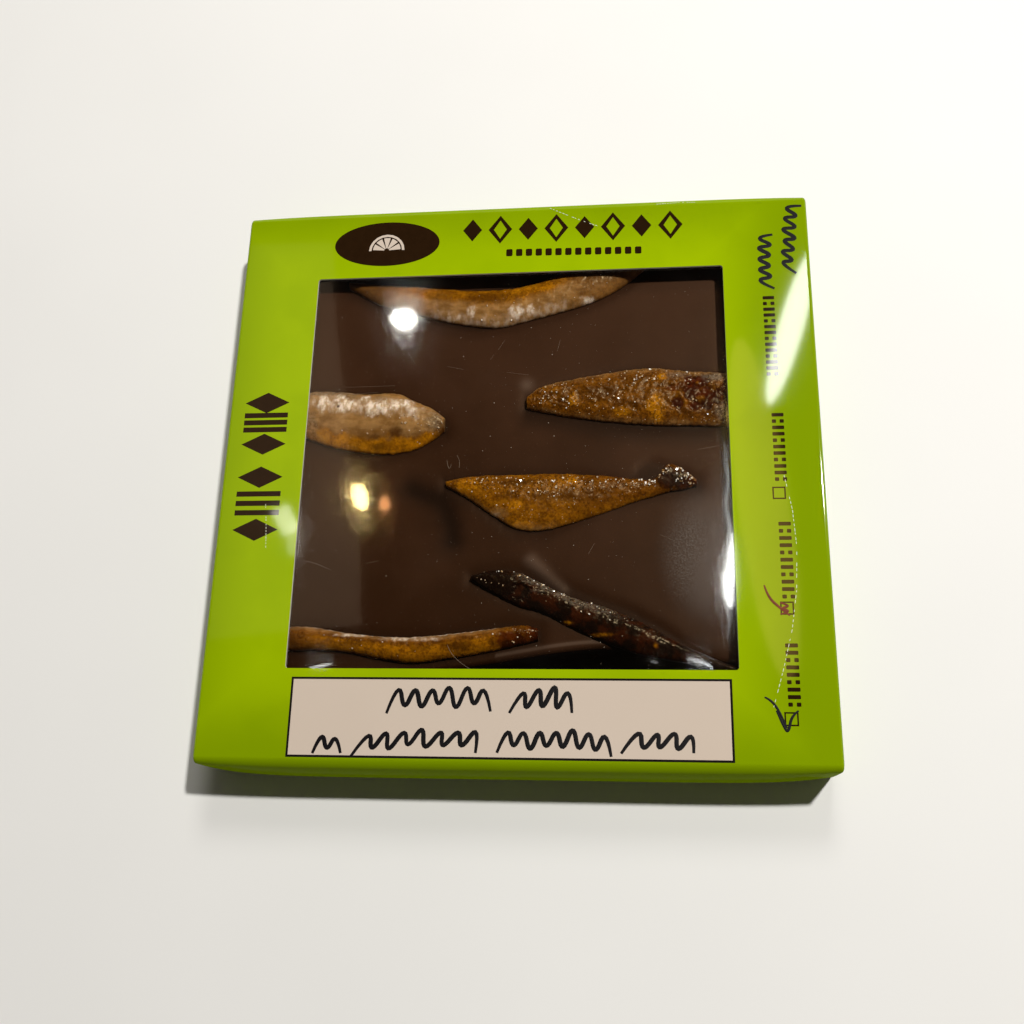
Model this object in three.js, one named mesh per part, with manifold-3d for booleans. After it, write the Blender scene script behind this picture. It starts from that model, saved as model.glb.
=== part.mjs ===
// A shut window carton lying flat, with a slab of chocolate and strips of candied orange peel behind its film.
// Millimetres, +Z up. The writing panel's edge is towards -Y. The origin is the middle of the carton's underside.
import * as THREE from 'three';
import { mergeVertices } from 'three/addons/utils/BufferGeometryUtils.js';
import Module from 'manifold-3d';

const wasm = await Module();
wasm.setup();

const WELD_DISTANCE = 1e-4;

// Carton: outside sizes between its folds
const CARTON_WIDTH = 120;
const CARTON_DEPTH = 118;
const CARTON_HEIGHT = 13;
const BOARD = 0.5;
const END_FOLD = 1.3;
const SIDE_FOLD = 0.6;
const LEAST_FOLD = 0.2;

// The two closure walls swell beyond their folds, most a little below mid-height and not at the corners
const END_BOW = 1.7;
const BOW_FLATNESS = 8;
const BOW_LOWNESS = 0.9;
const BOW_FULLNESS = 0.8;
const BOW_STATIONS = [0, 0.35, 0.6, 0.76, 0.86, 0.92, 0.965];
const FOLD_STEPS = 4;
const WALL_STEPS = 6;

// Window in the top panel, and the film glued under it
const WINDOW_WIDTH = 85.7;
const WINDOW_DEPTH = 84.1;
const WINDOW_X = -0.55;
const WINDOW_Y = 1.05;
const WINDOW_CORNER = 0.6;
const FILM_OVERLAP = 6;
const FILM = 0.2;
const GLUE_GAP = 0.1;

// Seams where the closure walls and the side join meet their neighbours
const SEAM_WIDTH = 0.25;
const SEAM_CUT = 0.25;
const SEAM_INSET = 0.75;

// Slab of chocolate, pushed against the far wall, with a shallow scoop in its near edge
const REST_GAP = 0.3;
const SLAB_WIDTH = 100;
const SLAB_FAR_Y = 58;
const SLAB_NEAR_Y = -42;
const SLAB_TOP = 9;
const SLAB_CORNER = 3;
const SLAB_ROUNDING = 1;
const SCOOP_DEPTH = 5.6;
const SCOOP_X = 18.5;
const SCOOP_REACH = 26;
const SCOOP_STEPS = 24;

// Strips of peel pressed into the slab, each with a pocket that clears it all round
const PEEL_SINK = 1.2;
const PEEL_STEPS = 28;
const CROWN_STEPS = 9;
const UNDER_STEPS = 3;
const UNDER_INSET = 0.14;
const CROWN_FULLNESS = 0.5;
const CROWN_SLIMMING = 0.4;
const POCKET_GAP = 0.3;

// Each strip: its crown above the chocolate, where its ridge runs across it from -1, near, to 1, far,
// how rough it is, and its stations along X as [x, y of the near edge, y of the far edge]
const PEELS = {
  peel_top: {
    crown: 2.2, ridge: 0.1, relief: 0.08, colour: 0xb06a1e,
    stations: [
      [-37.5, 42.6, 44.2], [-30, 38.2, 43.3], [-22, 35.7, 42.4], [-14, 33.5, 41.5], [-5, 32.2, 41.1],
      [3, 33.9, 42.3], [9, 35.5, 45], [15, 37.4, 47.4], [21, 40.5, 49], [27, 45.4, 49.6],
    ],
  },
  peel_left: {
    crown: 2.8, ridge: 0.35, relief: 0.12, colour: 0xc89a5a,
    stations: [
      [-48.5, 9.8, 16], [-44, 7.6, 18.2], [-38, 5.5, 18.1], [-32, 4.4, 17.4], [-26, 4, 17.5],
      [-21, 4.9, 15.3], [-17.5, 6.9, 13.6], [-15.2, 8.7, 11.6],
    ],
  },
  peel_right: {
    crown: 2.6, ridge: 0.2, relief: 0.2, colour: 0xa0641c,
    stations: [
      [1.9, 13.5, 16.1], [5, 12.6, 18.3], [11, 11.3, 19.7], [19, 10.1, 21.1], [27, 9.3, 21.8],
      [35, 9, 20.9], [42, 8.8, 20.3], [46.5, 9.8, 18.8], [48.7, 12, 16.6],
    ],
  },
  peel_centre: {
    crown: 2.4, ridge: 0.4, relief: 0.16, colour: 0xa8681a,
    stations: [
      [-14.3, -3.3, -2.2], [-10, -5.8, -1.3], [-5, -9.3, -1.1], [0, -12.3, -1], [5, -12.8, -0.9],
      [11, -11.4, -1], [18, -9.1, -1.5], [24, -6.9, -2.3], [27.6, -5.9, -2.3], [30.4, -5, 0.8],
      [33.4, -4.6, -0.4], [35.8, -3.9, -2.5],
    ],
  },
  peel_dark: {
    crown: 2.6, ridge: 0.3, relief: 0.18, colour: 0x4a1c0a,
    stations: [
      [-8.4, -23, -21.9], [-4, -25.6, -20.9], [1, -28.1, -21.4], [6, -29.6, -23.9], [12, -32.8, -26.6],
      [19, -35.8, -28.8], [26, -37.9, -32], [33, -39.1, -36], [40, -41, -39], [45.5, -42.4, -41.4],
    ],
  },
  peel_near: {
    crown: 2.6, ridge: 0.3, relief: 0.06, colour: 0xb8741c,
    stations: [
      [-48.5, -36.4, -33.4], [-44, -37, -32.2], [-39, -36.9, -32.4], [-33, -37.2, -33.4],
      [-25, -38.7, -34.2], [-19, -39.3, -34.2], [-12, -38.4, -33.6], [-4, -37, -32.6], [2, -35.6, -31.9],
      [4.9, -34.9, -32.6],
    ],
  },
};

// A closed solid from a geometry whose faces share their edges
function solidFrom(geometry) {
  const bare = geometry.clone();
  bare.deleteAttribute('normal');
  bare.deleteAttribute('uv');
  const welded = mergeVertices(bare, WELD_DISTANCE);
  const vertProperties = new Float32Array(welded.attributes.position.array);
  const triVerts = new Uint32Array(welded.index.array);
  return new wasm.Manifold(new wasm.Mesh({ numProp: 3, vertProperties, triVerts }));
}

function geometryFrom(solid) {
  const mesh = solid.getMesh();
  const geometry = new THREE.BufferGeometry();
  geometry.setAttribute('position', new THREE.BufferAttribute(new Float32Array(mesh.vertProperties), 3));
  geometry.setIndex(new THREE.BufferAttribute(new Uint32Array(mesh.triVerts), 1));
  geometry.computeVertexNormals();
  return geometry;
}

// Skins a row of rings that follow one another along X. Each ring runs anticlockwise as +X sees it.
function loft(rings) {
  const count = rings[0].length;
  const positions = rings.flat().flatMap((point) => point.toArray());
  const index = [];
  for (let ring = 0; ring + 1 < rings.length; ring += 1) {
    for (let step = 0; step < count; step += 1) {
      const a = ring * count + step;
      const b = ring * count + ((step + 1) % count);
      index.push(a, b, b + count, a, b + count, a + count);
    }
  }
  for (const [ring, turn] of [[0, -1], [rings.length - 1, 1]]) {
    const outline = rings[ring].map((point) => new THREE.Vector2(point.y, point.z));
    for (const face of THREE.ShapeUtils.triangulateShape(outline, [])) {
      const corners = turn > 0 ? face : [face[2], face[1], face[0]];
      index.push(...corners.map((corner) => ring * count + corner));
    }
  }
  const geometry = new THREE.BufferGeometry();
  geometry.setAttribute('position', new THREE.Float32BufferAttribute(positions, 3));
  geometry.setIndex(index);
  geometry.computeVertexNormals();
  return geometry;
}

function box(width, depth, height, x, y, z) {
  const geometry = new THREE.BoxGeometry(width, depth, height);
  geometry.translate(x, y, z);
  return geometry;
}

function roundedRectangle(width, depth, corner) {
  const shape = new THREE.Shape();
  const x = width / 2 - corner;
  const y = depth / 2 - corner;
  shape.absarc(x, y, corner, 0, Math.PI / 2);
  shape.absarc(-x, y, corner, Math.PI / 2, Math.PI);
  shape.absarc(-x, -y, corner, Math.PI, Math.PI * 1.5);
  shape.absarc(x, -y, corner, Math.PI * 1.5, Math.PI * 2);
  return shape;
}

// How far a closure wall stands out at a place across it and up it
function bow(x, z) {
  const across = 1 - Math.min(1, Math.abs(x) / (CARTON_WIDTH / 2)) ** BOW_FLATNESS;
  const up = Math.sin(Math.PI * (z / CARTON_HEIGHT) ** BOW_LOWNESS);
  return END_BOW * across * Math.max(0, up) ** BOW_FULLNESS;
}

// One section of the carton's outside, or of its inside when inset by the board
function cartonRing(x, inset, fold) {
  const edge = CARTON_DEPTH / 2 - inset;
  const low = inset;
  const high = CARTON_HEIGHT - inset;
  const corners = [
    [-1, low + fold, Math.PI], [1, low + fold, Math.PI * 1.5], [1, high - fold, 0], [-1, high - fold, Math.PI / 2],
  ];
  const outline = [];
  for (const [side, centreZ, start] of corners) {
    for (let step = 0; step <= FOLD_STEPS; step += 1) {
      const angle = start + (Math.PI / 2) * (step / FOLD_STEPS);
      outline.push([side * (edge - fold) + fold * Math.cos(angle), centreZ + fold * Math.sin(angle)]);
    }
    const risesNext = start === Math.PI * 1.5;
    const fallsNext = start === Math.PI / 2;
    for (let step = 1; (risesNext || fallsNext) && step < WALL_STEPS; step += 1) {
      const share = step / WALL_STEPS;
      const up = fallsNext ? 1 - share : share;
      outline.push([side * edge, low + fold + up * (high - low - 2 * fold)]);
    }
  }
  return outline.map(([y, z]) => {
    const grip = Math.max(0, (Math.abs(y) - (edge - fold)) / fold);
    return new THREE.Vector3(x, y + Math.sign(y) * grip * bow(x, z), z);
  });
}

// The carton's outside or inside as a closed block, with its side folds rounded by steps of an arc
function cartonBlock(inset) {
  const half = CARTON_WIDTH / 2 - inset;
  const fold = END_FOLD - inset;
  const sideFold = Math.max(LEAST_FOLD, SIDE_FOLD - inset);
  const places = [];
  for (let step = 0; step < FOLD_STEPS; step += 1) {
    const angle = (Math.PI / 2) * (step / FOLD_STEPS);
    places.push([half - sideFold * (1 - Math.cos(angle)), sideFold * (1 - Math.sin(angle))]);
  }
  places.push([half - sideFold, 0]);
  for (const share of [...BOW_STATIONS].reverse()) {
    places.push([half * share, 0]);
  }
  const right = places.map(([x, tuck]) => cartonRing(x, inset + tuck, fold));
  const left = places.slice(0, -1).map(([x, tuck]) => cartonRing(-x, inset + tuck, fold));
  return solidFrom(loft([...left, ...right.reverse()]));
}

function windowCutter() {
  const shape = roundedRectangle(WINDOW_WIDTH, WINDOW_DEPTH, WINDOW_CORNER);
  const geometry = new THREE.ExtrudeGeometry(shape, { depth: BOARD * 4, bevelEnabled: false, curveSegments: 3 });
  geometry.translate(WINDOW_X, WINDOW_Y, CARTON_HEIGHT - BOARD * 2);
  return solidFrom(geometry);
}

// Narrow cuts into the outside of the board: beside each closure wall, under its foot, and along the side join
function seamCutters() {
  const cutters = [];
  const seamHeight = CARTON_HEIGHT - 2 * END_FOLD;
  for (const end of [-1, 1]) {
    const seamY = end * (CARTON_DEPTH / 2 - SEAM_INSET - BOARD);
    cutters.push(box(CARTON_WIDTH - 2 * SEAM_INSET, SEAM_WIDTH, 2 * SEAM_CUT, 0, seamY, 0));
    for (const side of [-1, 1]) {
      const seamX = side * (CARTON_WIDTH / 2);
      cutters.push(box(2 * SEAM_CUT, SEAM_WIDTH, seamHeight, seamX, seamY, CARTON_HEIGHT / 2));
    }
  }
  const joinLength = CARTON_DEPTH - 4 * SEAM_INSET - 2 * BOARD;
  cutters.push(box(2 * SEAM_CUT, joinLength, SEAM_WIDTH, -CARTON_WIDTH / 2, 0, SIDE_FOLD + SEAM_INSET));
  return cutters.map(solidFrom);
}

function cartonGeometry() {
  let carton = cartonBlock(0).subtract(cartonBlock(BOARD)).subtract(windowCutter());
  for (const cutter of seamCutters()) {
    carton = carton.subtract(cutter);
  }
  return geometryFrom(carton);
}

function filmGeometry() {
  const width = WINDOW_WIDTH + 2 * FILM_OVERLAP;
  const depth = WINDOW_DEPTH + 2 * FILM_OVERLAP;
  const middle = CARTON_HEIGHT - BOARD - GLUE_GAP - FILM / 2;
  return box(width, depth, FILM, WINDOW_X, WINDOW_Y, middle);
}

function nearEdge(x) {
  return SLAB_NEAR_Y + SCOOP_DEPTH * Math.exp(-(((x - SCOOP_X) / SCOOP_REACH) ** 2));
}

// The slab's outline, drawn smaller by the rounding that the bevel puts back
function slabShape() {
  const half = SLAB_WIDTH / 2 - SLAB_ROUNDING;
  const far = SLAB_FAR_Y - SLAB_ROUNDING;
  const near = half - SLAB_CORNER;
  const shape = new THREE.Shape();
  for (let step = 0; step <= SCOOP_STEPS; step += 1) {
    const x = -near + (2 * near * step) / SCOOP_STEPS;
    const y = nearEdge(x) + SLAB_ROUNDING;
    if (step === 0) {
      shape.moveTo(x, y);
    } else {
      shape.lineTo(x, y);
    }
  }
  shape.quadraticCurveTo(half, nearEdge(half) + SLAB_ROUNDING, half, nearEdge(half) + SLAB_CORNER);
  shape.lineTo(half, far - SLAB_CORNER);
  shape.quadraticCurveTo(half, far, near, far);
  shape.lineTo(-near, far);
  shape.quadraticCurveTo(-half, far, -half, far - SLAB_CORNER);
  shape.lineTo(-half, nearEdge(-half) + SLAB_CORNER);
  shape.quadraticCurveTo(-half, nearEdge(-half) + SLAB_ROUNDING, -near, nearEdge(-near) + SLAB_ROUNDING);
  return shape;
}

function slabGeometry() {
  const bottom = BOARD + REST_GAP;
  const geometry = new THREE.ExtrudeGeometry(slabShape(), {
    depth: SLAB_TOP - bottom - 2 * SLAB_ROUNDING,
    bevelThickness: SLAB_ROUNDING,
    bevelSize: SLAB_ROUNDING,
    bevelSegments: 3,
    curveSegments: 4,
  });
  geometry.translate(0, 0, bottom + SLAB_ROUNDING);
  let slab = solidFrom(geometry);
  for (const peel of Object.values(PEELS)) {
    slab = slab.subtract(solidFrom(peelGeometry(peel, POCKET_GAP)));
  }
  return geometryFrom(slab);
}

// Small knobs of sugar and wrinkles on a strip's top, from crossed waves 1.2 to 3.5 mm long
function knobs(x, y) {
  return Math.sin(2.3 * x + 1.1 * y) * Math.sin(1.7 * y - 0.6 * x) + 0.6 * Math.sin(4.1 * x - 2.9 * y);
}

// One section of a strip: a flat foot in the chocolate and a dome that peaks at the ridge
function peelRing(peel, grown, x, near, far, slimness) {
  const middle = (near + far) / 2;
  const half = (far - near) / 2;
  const foot = SLAB_TOP - PEEL_SINK - grown;
  const crown = peel.crown * slimness;
  const ring = [];
  for (let step = 0; step <= UNDER_STEPS; step += 1) {
    const across = (1 - UNDER_INSET) * (-1 + (2 * step) / UNDER_STEPS);
    ring.push(new THREE.Vector3(x, middle + half * across, foot));
  }
  for (let step = 0; step <= CROWN_STEPS; step += 1) {
    const across = Math.cos((Math.PI * step) / CROWN_STEPS);
    const climb = across < peel.ridge ? (across + 1) / (peel.ridge + 1) : (1 - across) / (1 - peel.ridge);
    const rise = Math.sin((Math.PI / 2) * climb) ** CROWN_FULLNESS;
    const y = middle + half * across;
    const rough = grown > 0 ? 0 : peel.relief * rise * knobs(x, y);
    ring.push(new THREE.Vector3(x, y, SLAB_TOP + crown * rise + rough));
  }
  return ring;
}

function peelGeometry(peel, grown) {
  const edges = new THREE.CatmullRomCurve3(peel.stations.map((station) => new THREE.Vector3(...station)));
  const widest = Math.max(...peel.stations.map(([, near, far]) => far - near));
  const rings = [];
  for (let step = 0; step <= PEEL_STEPS; step += 1) {
    const along = step / PEEL_STEPS;
    const { x, y: near, z: far } = edges.getPoint(along);
    const slimness = Math.min(1, (far - near) / widest) ** CROWN_SLIMMING;
    const section = (shift) => peelRing(peel, grown, x + shift, near - grown, far + grown, slimness);
    if (grown > 0 && step === 0) {
      rings.push(section(-grown));
    }
    rings.push(section(0));
    if (grown > 0 && step === PEEL_STEPS) {
      rings.push(section(grown));
    }
  }
  return loft(rings);
}

function material(colour, roughness) {
  return new THREE.MeshStandardMaterial({ color: colour, roughness, metalness: 0 });
}

function named(name, geometry, finish) {
  const mesh = new THREE.Mesh(geometry, finish);
  mesh.name = name;
  return mesh;
}

const pack = new THREE.Group();
pack.add(named('carton', cartonGeometry(), material(0x93b000, 0.3)));
pack.add(named('window_film', filmGeometry(), material(0xe8eef0, 0.05)));
pack.add(named('chocolate_slab', slabGeometry(), material(0x3a2018, 0.35)));
for (const [name, peel] of Object.entries(PEELS)) {
  pack.add(named(name, peelGeometry(peel, 0), material(peel.colour, 0.4)));
}

export default pack;
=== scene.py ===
import math
import random
from dataclasses import dataclass
from typing import NamedTuple

import bmesh
import bpy
from mathutils import Euler, Matrix, Vector, noise


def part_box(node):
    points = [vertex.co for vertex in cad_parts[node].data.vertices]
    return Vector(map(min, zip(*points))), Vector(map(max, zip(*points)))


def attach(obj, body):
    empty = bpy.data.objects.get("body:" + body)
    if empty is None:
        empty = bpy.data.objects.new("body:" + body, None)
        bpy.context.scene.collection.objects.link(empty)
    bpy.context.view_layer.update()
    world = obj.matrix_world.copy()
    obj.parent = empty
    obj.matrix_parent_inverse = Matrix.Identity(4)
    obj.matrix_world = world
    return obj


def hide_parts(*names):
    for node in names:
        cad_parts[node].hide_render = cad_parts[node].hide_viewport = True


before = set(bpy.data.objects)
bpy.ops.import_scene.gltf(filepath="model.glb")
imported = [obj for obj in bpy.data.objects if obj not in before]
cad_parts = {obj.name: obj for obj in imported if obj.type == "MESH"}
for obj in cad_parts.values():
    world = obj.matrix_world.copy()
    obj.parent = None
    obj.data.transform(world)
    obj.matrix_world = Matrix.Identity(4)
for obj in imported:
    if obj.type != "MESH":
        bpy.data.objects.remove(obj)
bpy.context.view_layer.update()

MM = 0.001

# Carton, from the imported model
carton_low, carton_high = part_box("carton")
HALF_WIDTH = carton_high.x
HALF_DEPTH = 59 * MM
HEIGHT = carton_high.z
END_BOW = carton_high.y - HALF_DEPTH
BOW_FLATNESS = 8
BOW_LOWNESS = 0.9
BOW_FULLNESS = 0.8
BOARD = 0.5 * MM
END_FOLD = 1.3 * MM
SIDE_FOLD = 0.6 * MM
LEAST_FOLD = 0.2 * MM
FOLD_STEPS = 8
BOW_STEPS = 48
WALL_STEPS = 14
SEAM_WIDTH = 0.25 * MM
SEAM_CUT = 0.25 * MM
SEAM_INSET = 0.75 * MM

# Window and film
WINDOW_WIDTH = 85.7 * MM
WINDOW_DEPTH = 84.1 * MM
WINDOW_MIDDLE = Vector((-0.55 * MM, 1.05 * MM))
WINDOW_CORNER = 0.6 * MM
film_low, film_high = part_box("window_film")
FILM = 0.06 * MM
FILM_STEPS = 150
FILM_TOP = film_high.z - 0.04 * MM

# The printed fields stand one ink above the board's face, and the pen strokes another
INK = 0.02 * MM
FACE = HEIGHT - 2 * INK
PRINT_TOP = HEIGHT - INK

# Slab, its own sizes in millimetres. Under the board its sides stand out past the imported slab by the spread.
slab_low, slab_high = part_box("chocolate_slab")
SLAB_STEPS = 288
SLAB_SPREAD = 1.994
RIM = 1
RIM_STEPS = 6
SLAB_NEAR_Y = -42
SCOOP_DEPTH = 5.6
SCOOP_X = 18.5
SCOOP_REACH = 26

# Strips of peel, in millimetres as they were laid out
SLAB_TOP = slab_high.z / MM
PEEL_SINK = 1.2
UNDER_INSET = 0.14
CROWN_FULLNESS = 0.5
CROWN_SLIMMING = 0.4
GRAIN_SPACING = 0.16
STRIP_ROWS = 72


def smooth(value, low, high):
    """0 below low, 1 above high, with an eased rise between them. low may be the larger."""
    share = min(1, max(0, (value - low) / (high - low)))
    return share * share * (3 - 2 * share)


def between(value, low, high, soft):
    """1 from low to high and 0 outside, with each end eased over twice soft."""
    return smooth(value, low - soft, low + soft) * (1 - smooth(value, high - soft, high + soft))


def fading(distance, reach):
    """1 at no distance, and a smooth fall to nothing over about twice reach."""
    return math.exp(-(distance / reach) ** 2)


def mix(low, high, share):
    return low + (high - low) * share


def hills(x, y, layers, seed=0.0):
    """A rolling height from layers of smooth noise: (height, size of the hills, what it adds to the seed)."""
    return sum(
        height * noise.noise(Vector((x / size, y / size, seed + shift))) for height, size, shift in layers)


def any_turn(draw):
    return Euler([draw.uniform(0, math.pi) for _ in range(3)]).to_matrix().to_4x4()


# Shaders

class Wire:
    """A shader socket that takes arithmetic, so that masks read as formulas."""

    def __init__(self, nodes, socket):
        self.nodes = nodes
        self.socket = socket

    def math(self, operation, *others):
        """A Math node with this socket first."""
        return self.nodes.calculate(operation, self, *others)

    def __add__(self, other):
        return self.math("ADD", other)

    def __sub__(self, other):
        return self.math("SUBTRACT", other)

    def __rsub__(self, other):
        return self.nodes.calculate("SUBTRACT", other, self)

    def __mul__(self, other):
        return self.math("MULTIPLY", other)

    __radd__ = __add__
    __rmul__ = __mul__

    def eased(self, low, high):
        """0 below low, 1 above high, with an eased rise between them."""
        settings = {"interpolation_type": "SMOOTHSTEP", "clamp": True}
        return self.nodes.add("MapRange", settings, {"Value": self, "From Min": low, "From Max": high})


class Nodes:
    """A node tree being made, for a material or the world."""

    def __init__(self, owner, output):
        owner.use_nodes = True
        self.tree = owner.node_tree
        self.tree.nodes.clear()
        self.output = self.tree.nodes.new(output)

    def add(self, kind, settings=None, values=None, output=0):
        """Adds a node: its settings first, then the values or links of its sockets."""
        node = self.tree.nodes.new("ShaderNode" + kind)
        for name, value in (settings or {}).items():
            if name == "stops":
                set_stops(node.color_ramp, value)
            else:
                setattr(node, name, value)
        for key, value in (values or {}).items():
            self.feed(node.inputs[key], value)
        return Wire(self, node.outputs[output])

    def feed(self, socket, value):
        if isinstance(value, Wire):
            self.tree.links.new(value.socket, socket)
        elif socket.type == "RGBA" and len(value) == 3:
            socket.default_value = (*value, 1)
        else:
            socket.default_value = value

    def calculate(self, operation, *values):
        return self.add("Math", {"operation": operation}, dict(enumerate(values)))

    def axis(self, vector, index):
        """One of a vector's three numbers."""
        return self.add("SeparateXYZ", None, {0: vector}, output=index)

    def blend(self, share, first, second):
        values = {0: share, 6: first, 7: second}
        return self.add("Mix", {"data_type": "RGBA", "clamp_factor": True}, values, output=2)

    def end(self, shader):
        self.tree.links.new(shader.socket, self.output.inputs["Surface"])


class Finish(Nodes):
    """A material being made."""

    def __init__(self, name):
        self.material = bpy.data.materials.new(name)
        super().__init__(self.material, "ShaderNodeOutputMaterial")
        self.place = self.add("TexCoord", output="Object")

    def noise(self, size, detail=2.0, roughness=0.5, stretch=(1, 1, 1)):
        """Noise with hills about size metres apart, drawn out along an axis where stretch is above 1."""
        scale = [1 / (size * share) for share in stretch]
        place = self.add("Mapping", {"vector_type": "POINT"}, {"Vector": self.place, "Scale": scale})
        values = {"Vector": place, "Scale": 1.0, "Detail": detail, "Roughness": roughness}
        return self.add("TexNoise", {"noise_dimensions": "3D"}, values)

    def cells(self, size):
        """The distance to the nearest of many scattered points, about size apart."""
        return self.add("TexVoronoi", {"feature": "F1"}, {"Vector": self.place, "Scale": 1 / size})

    def mask(self, name):
        """A mask that the piece's own mesh holds at its points."""
        return self.add("Attribute", {"attribute_name": name}, output="Fac")

    def ramp(self, share, stops):
        return self.add("ValToRGB", {"stops": stops}, {0: share})

    def bump(self, height, depth, below=None):
        """A normal from a height of 0 to 1 that stands for depth metres."""
        values = {"Strength": 1.0, "Distance": depth, "Height": height}
        if below is not None:
            values["Normal"] = below
        return self.add("Bump", None, values)

    def surface(self, **values):
        """Ends the material with a Principled shader. An underscore in a name stands for a space."""
        inputs = {name.replace("_", " "): value for name, value in values.items()}
        self.end(self.add("BsdfPrincipled", None, inputs))
        return self.material


def set_stops(ramp, stops):
    """Sets a colour ramp from pairs of a position and a colour."""
    while len(ramp.elements) < len(stops):
        ramp.elements.new(0.5)
    for element, (position, colour) in zip(ramp.elements, stops):
        element.position = position
        element.color = (*colour, 1)


def times(colour, factor):
    return tuple(part * factor for part in colour)


COAT_ROUGHNESS = 0.045
COAT_IOR = 1.5
COAT_ON_TOP = 0.75
COAT_ON_WALLS = 0.05
COAT_FROM = HEIGHT - 0.3 * END_FOLD
COAT_FULL = HEIGHT - 0.03 * END_FOLD


def laminated(finish, colour):
    """Ends a printed finish under the carton's glossy laminate, with its fine grain. The walls are duller."""
    grain = finish.noise(0.32 * MM, detail=2, stretch=(1, 1.8, 1))
    sag = finish.noise(9 * MM, detail=1)
    normal = finish.bump(sag, 0.02 * MM, finish.bump(grain, 0.0035 * MM))
    top = finish.axis(finish.place, 2).eased(COAT_FROM, COAT_FULL)
    return finish.surface(
        Base_Color=colour, Roughness=0.5, Normal=normal, Specular_IOR_Level=0.0,
        Coat_Weight=top * (COAT_ON_TOP - COAT_ON_WALLS) + COAT_ON_WALLS, Coat_Roughness=COAT_ROUGHNESS,
        Coat_IOR=COAT_IOR,
    )


# Colours, where there are two as a darker and a lighter tone
LIME = ((0.262, 0.376, 0.0003), (0.290, 0.408, 0.0005))
# Painted shade: the lime where it darkens towards the carton's edges
LIME_PAINTED_SHADE = (0.185, 0.275, 0.0002)
CREAM = ((0.54, 0.447, 0.366), (0.575, 0.478, 0.396))
# The chocolate's two tones, blended partly by painted light that is lighter towards the far side
CHOCOLATE = ((0.02, 0.0062, 0.0015), (0.037, 0.0138, 0.0055))
# Painted sheen on the chocolate
CHOCOLATE_PAINTED_SHEEN = (0.12, 0.075, 0.05)
# Painted shade in the chocolate beside the strips and in a dent
CHOCOLATE_PAINTED_SHADE = (0.005, 0.0014, 0.0004)
CHOCOLATE_SPECK = (0.12, 0.075, 0.045)
CORE_PALE = ((0.42, 0.38, 0.3), (0.7, 0.66, 0.58))
# Painted shade: the inside of the board, near black
INSIDE_PAINTED_SHADE = ((0.008, 0.006, 0.005), (0.016, 0.012, 0.009))
INK_BLACK = (0.008, 0.006, 0.006)
INK_BROWN = (0.014, 0.006, 0.002)
PEN_BLACK = (0.004, 0.0034, 0.004)
PEN_RED = (0.13, 0.03, 0.012)
SCUFF_PALE = (0.75, 0.8, 0.6)
DUST_TAN = (0.5, 0.42, 0.33)
HAIR_BROWN = (0.2, 0.14, 0.09)


def lime_board():
    """Lime green print, with painted shade that darkens it towards the edges and folds, most at the right and
    the near side.
    """
    finish = Finish("lime_board")
    mottle = finish.noise(14 * MM, detail=3)
    x, y = (finish.axis(finish.place, index) for index in (0, 1))
    sides = (x * (1 / HALF_WIDTH) + 0.09).math("ABSOLUTE")
    ends = (y * (1 / HALF_DEPTH) - 0.03).math("ABSOLUTE")
    # Painted shade: darker towards the edges, shifted to the right and the near side
    outer = sides.math("MAXIMUM", ends)
    tone = finish.blend(mottle.eased(0.35, 0.65), *LIME)
    return laminated(finish, finish.blend((outer + mottle * 0.2).eased(0.82, 1.12), tone, LIME_PAINTED_SHADE))


def cream_panel():
    finish = Finish("cream_panel")
    mottle = finish.noise(20 * MM, detail=2)
    return laminated(finish, finish.blend(mottle, *CREAM))


def printed_ink(name, colour):
    finish = Finish(name)
    mottle = finish.noise(1.5 * MM, detail=2)
    return laminated(finish, finish.blend(mottle * 0.5, colour, times(colour, 2)))


def pen_ink(name, colour):
    """Marker ink on top of the laminate: streaky and half matt."""
    finish = Finish(name)
    streaks = finish.noise(0.5 * MM, detail=2, stretch=(3, 1, 1))
    tone = finish.blend(streaks.eased(0.3, 0.8), colour, times(colour, 1.6))
    return finish.surface(Base_Color=tone, Roughness=0.5, Specular_IOR_Level=0.08)


def mottled(name, low, high, roughness, size, detail, stretch=(1, 1, 1)):
    """A matt finish between two colours."""
    finish = Finish(name)
    tone = finish.blend(finish.noise(size, detail=detail, stretch=stretch), low, high)
    return finish.surface(Base_Color=tone, Roughness=roughness)


def plain(name, colour, roughness):
    return mottled(name, times(colour, 0.7), colour, roughness, 0.4 * MM, 1)


def board_core():
    """Cut edge of the board: pale fibres."""
    return mottled("board_core", *CORE_PALE, 0.85, 0.25 * MM, 3, (4, 4, 1))


def shaded_board_inside():
    """Inside of the board, painted near black as painted shade, so that it shows dark beside the slab."""
    return mottled("shaded_board_inside", *INSIDE_PAINTED_SHADE, 0.6, 0.6 * MM, 3)


# Painted reflection: a pale diffuse haze on the film towards the lower right, its middle and reach (mm) and
# its share
PAINTED_HAZE_PLACE = (38.0, -18.5)
PAINTED_HAZE_REACH = (12.5, 18.0)
PAINTED_HAZE_SHARE = 0.055
# Lobes of the film's mirror: (share, roughness, depth of the grain in mm)
FILM_LOBES = [(0.55, 0.028, 0.0), (0.32, 0.035, 0.006), (0.13, 0.09, 0.012)]
FILM_GLOSS = 0.04


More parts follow.
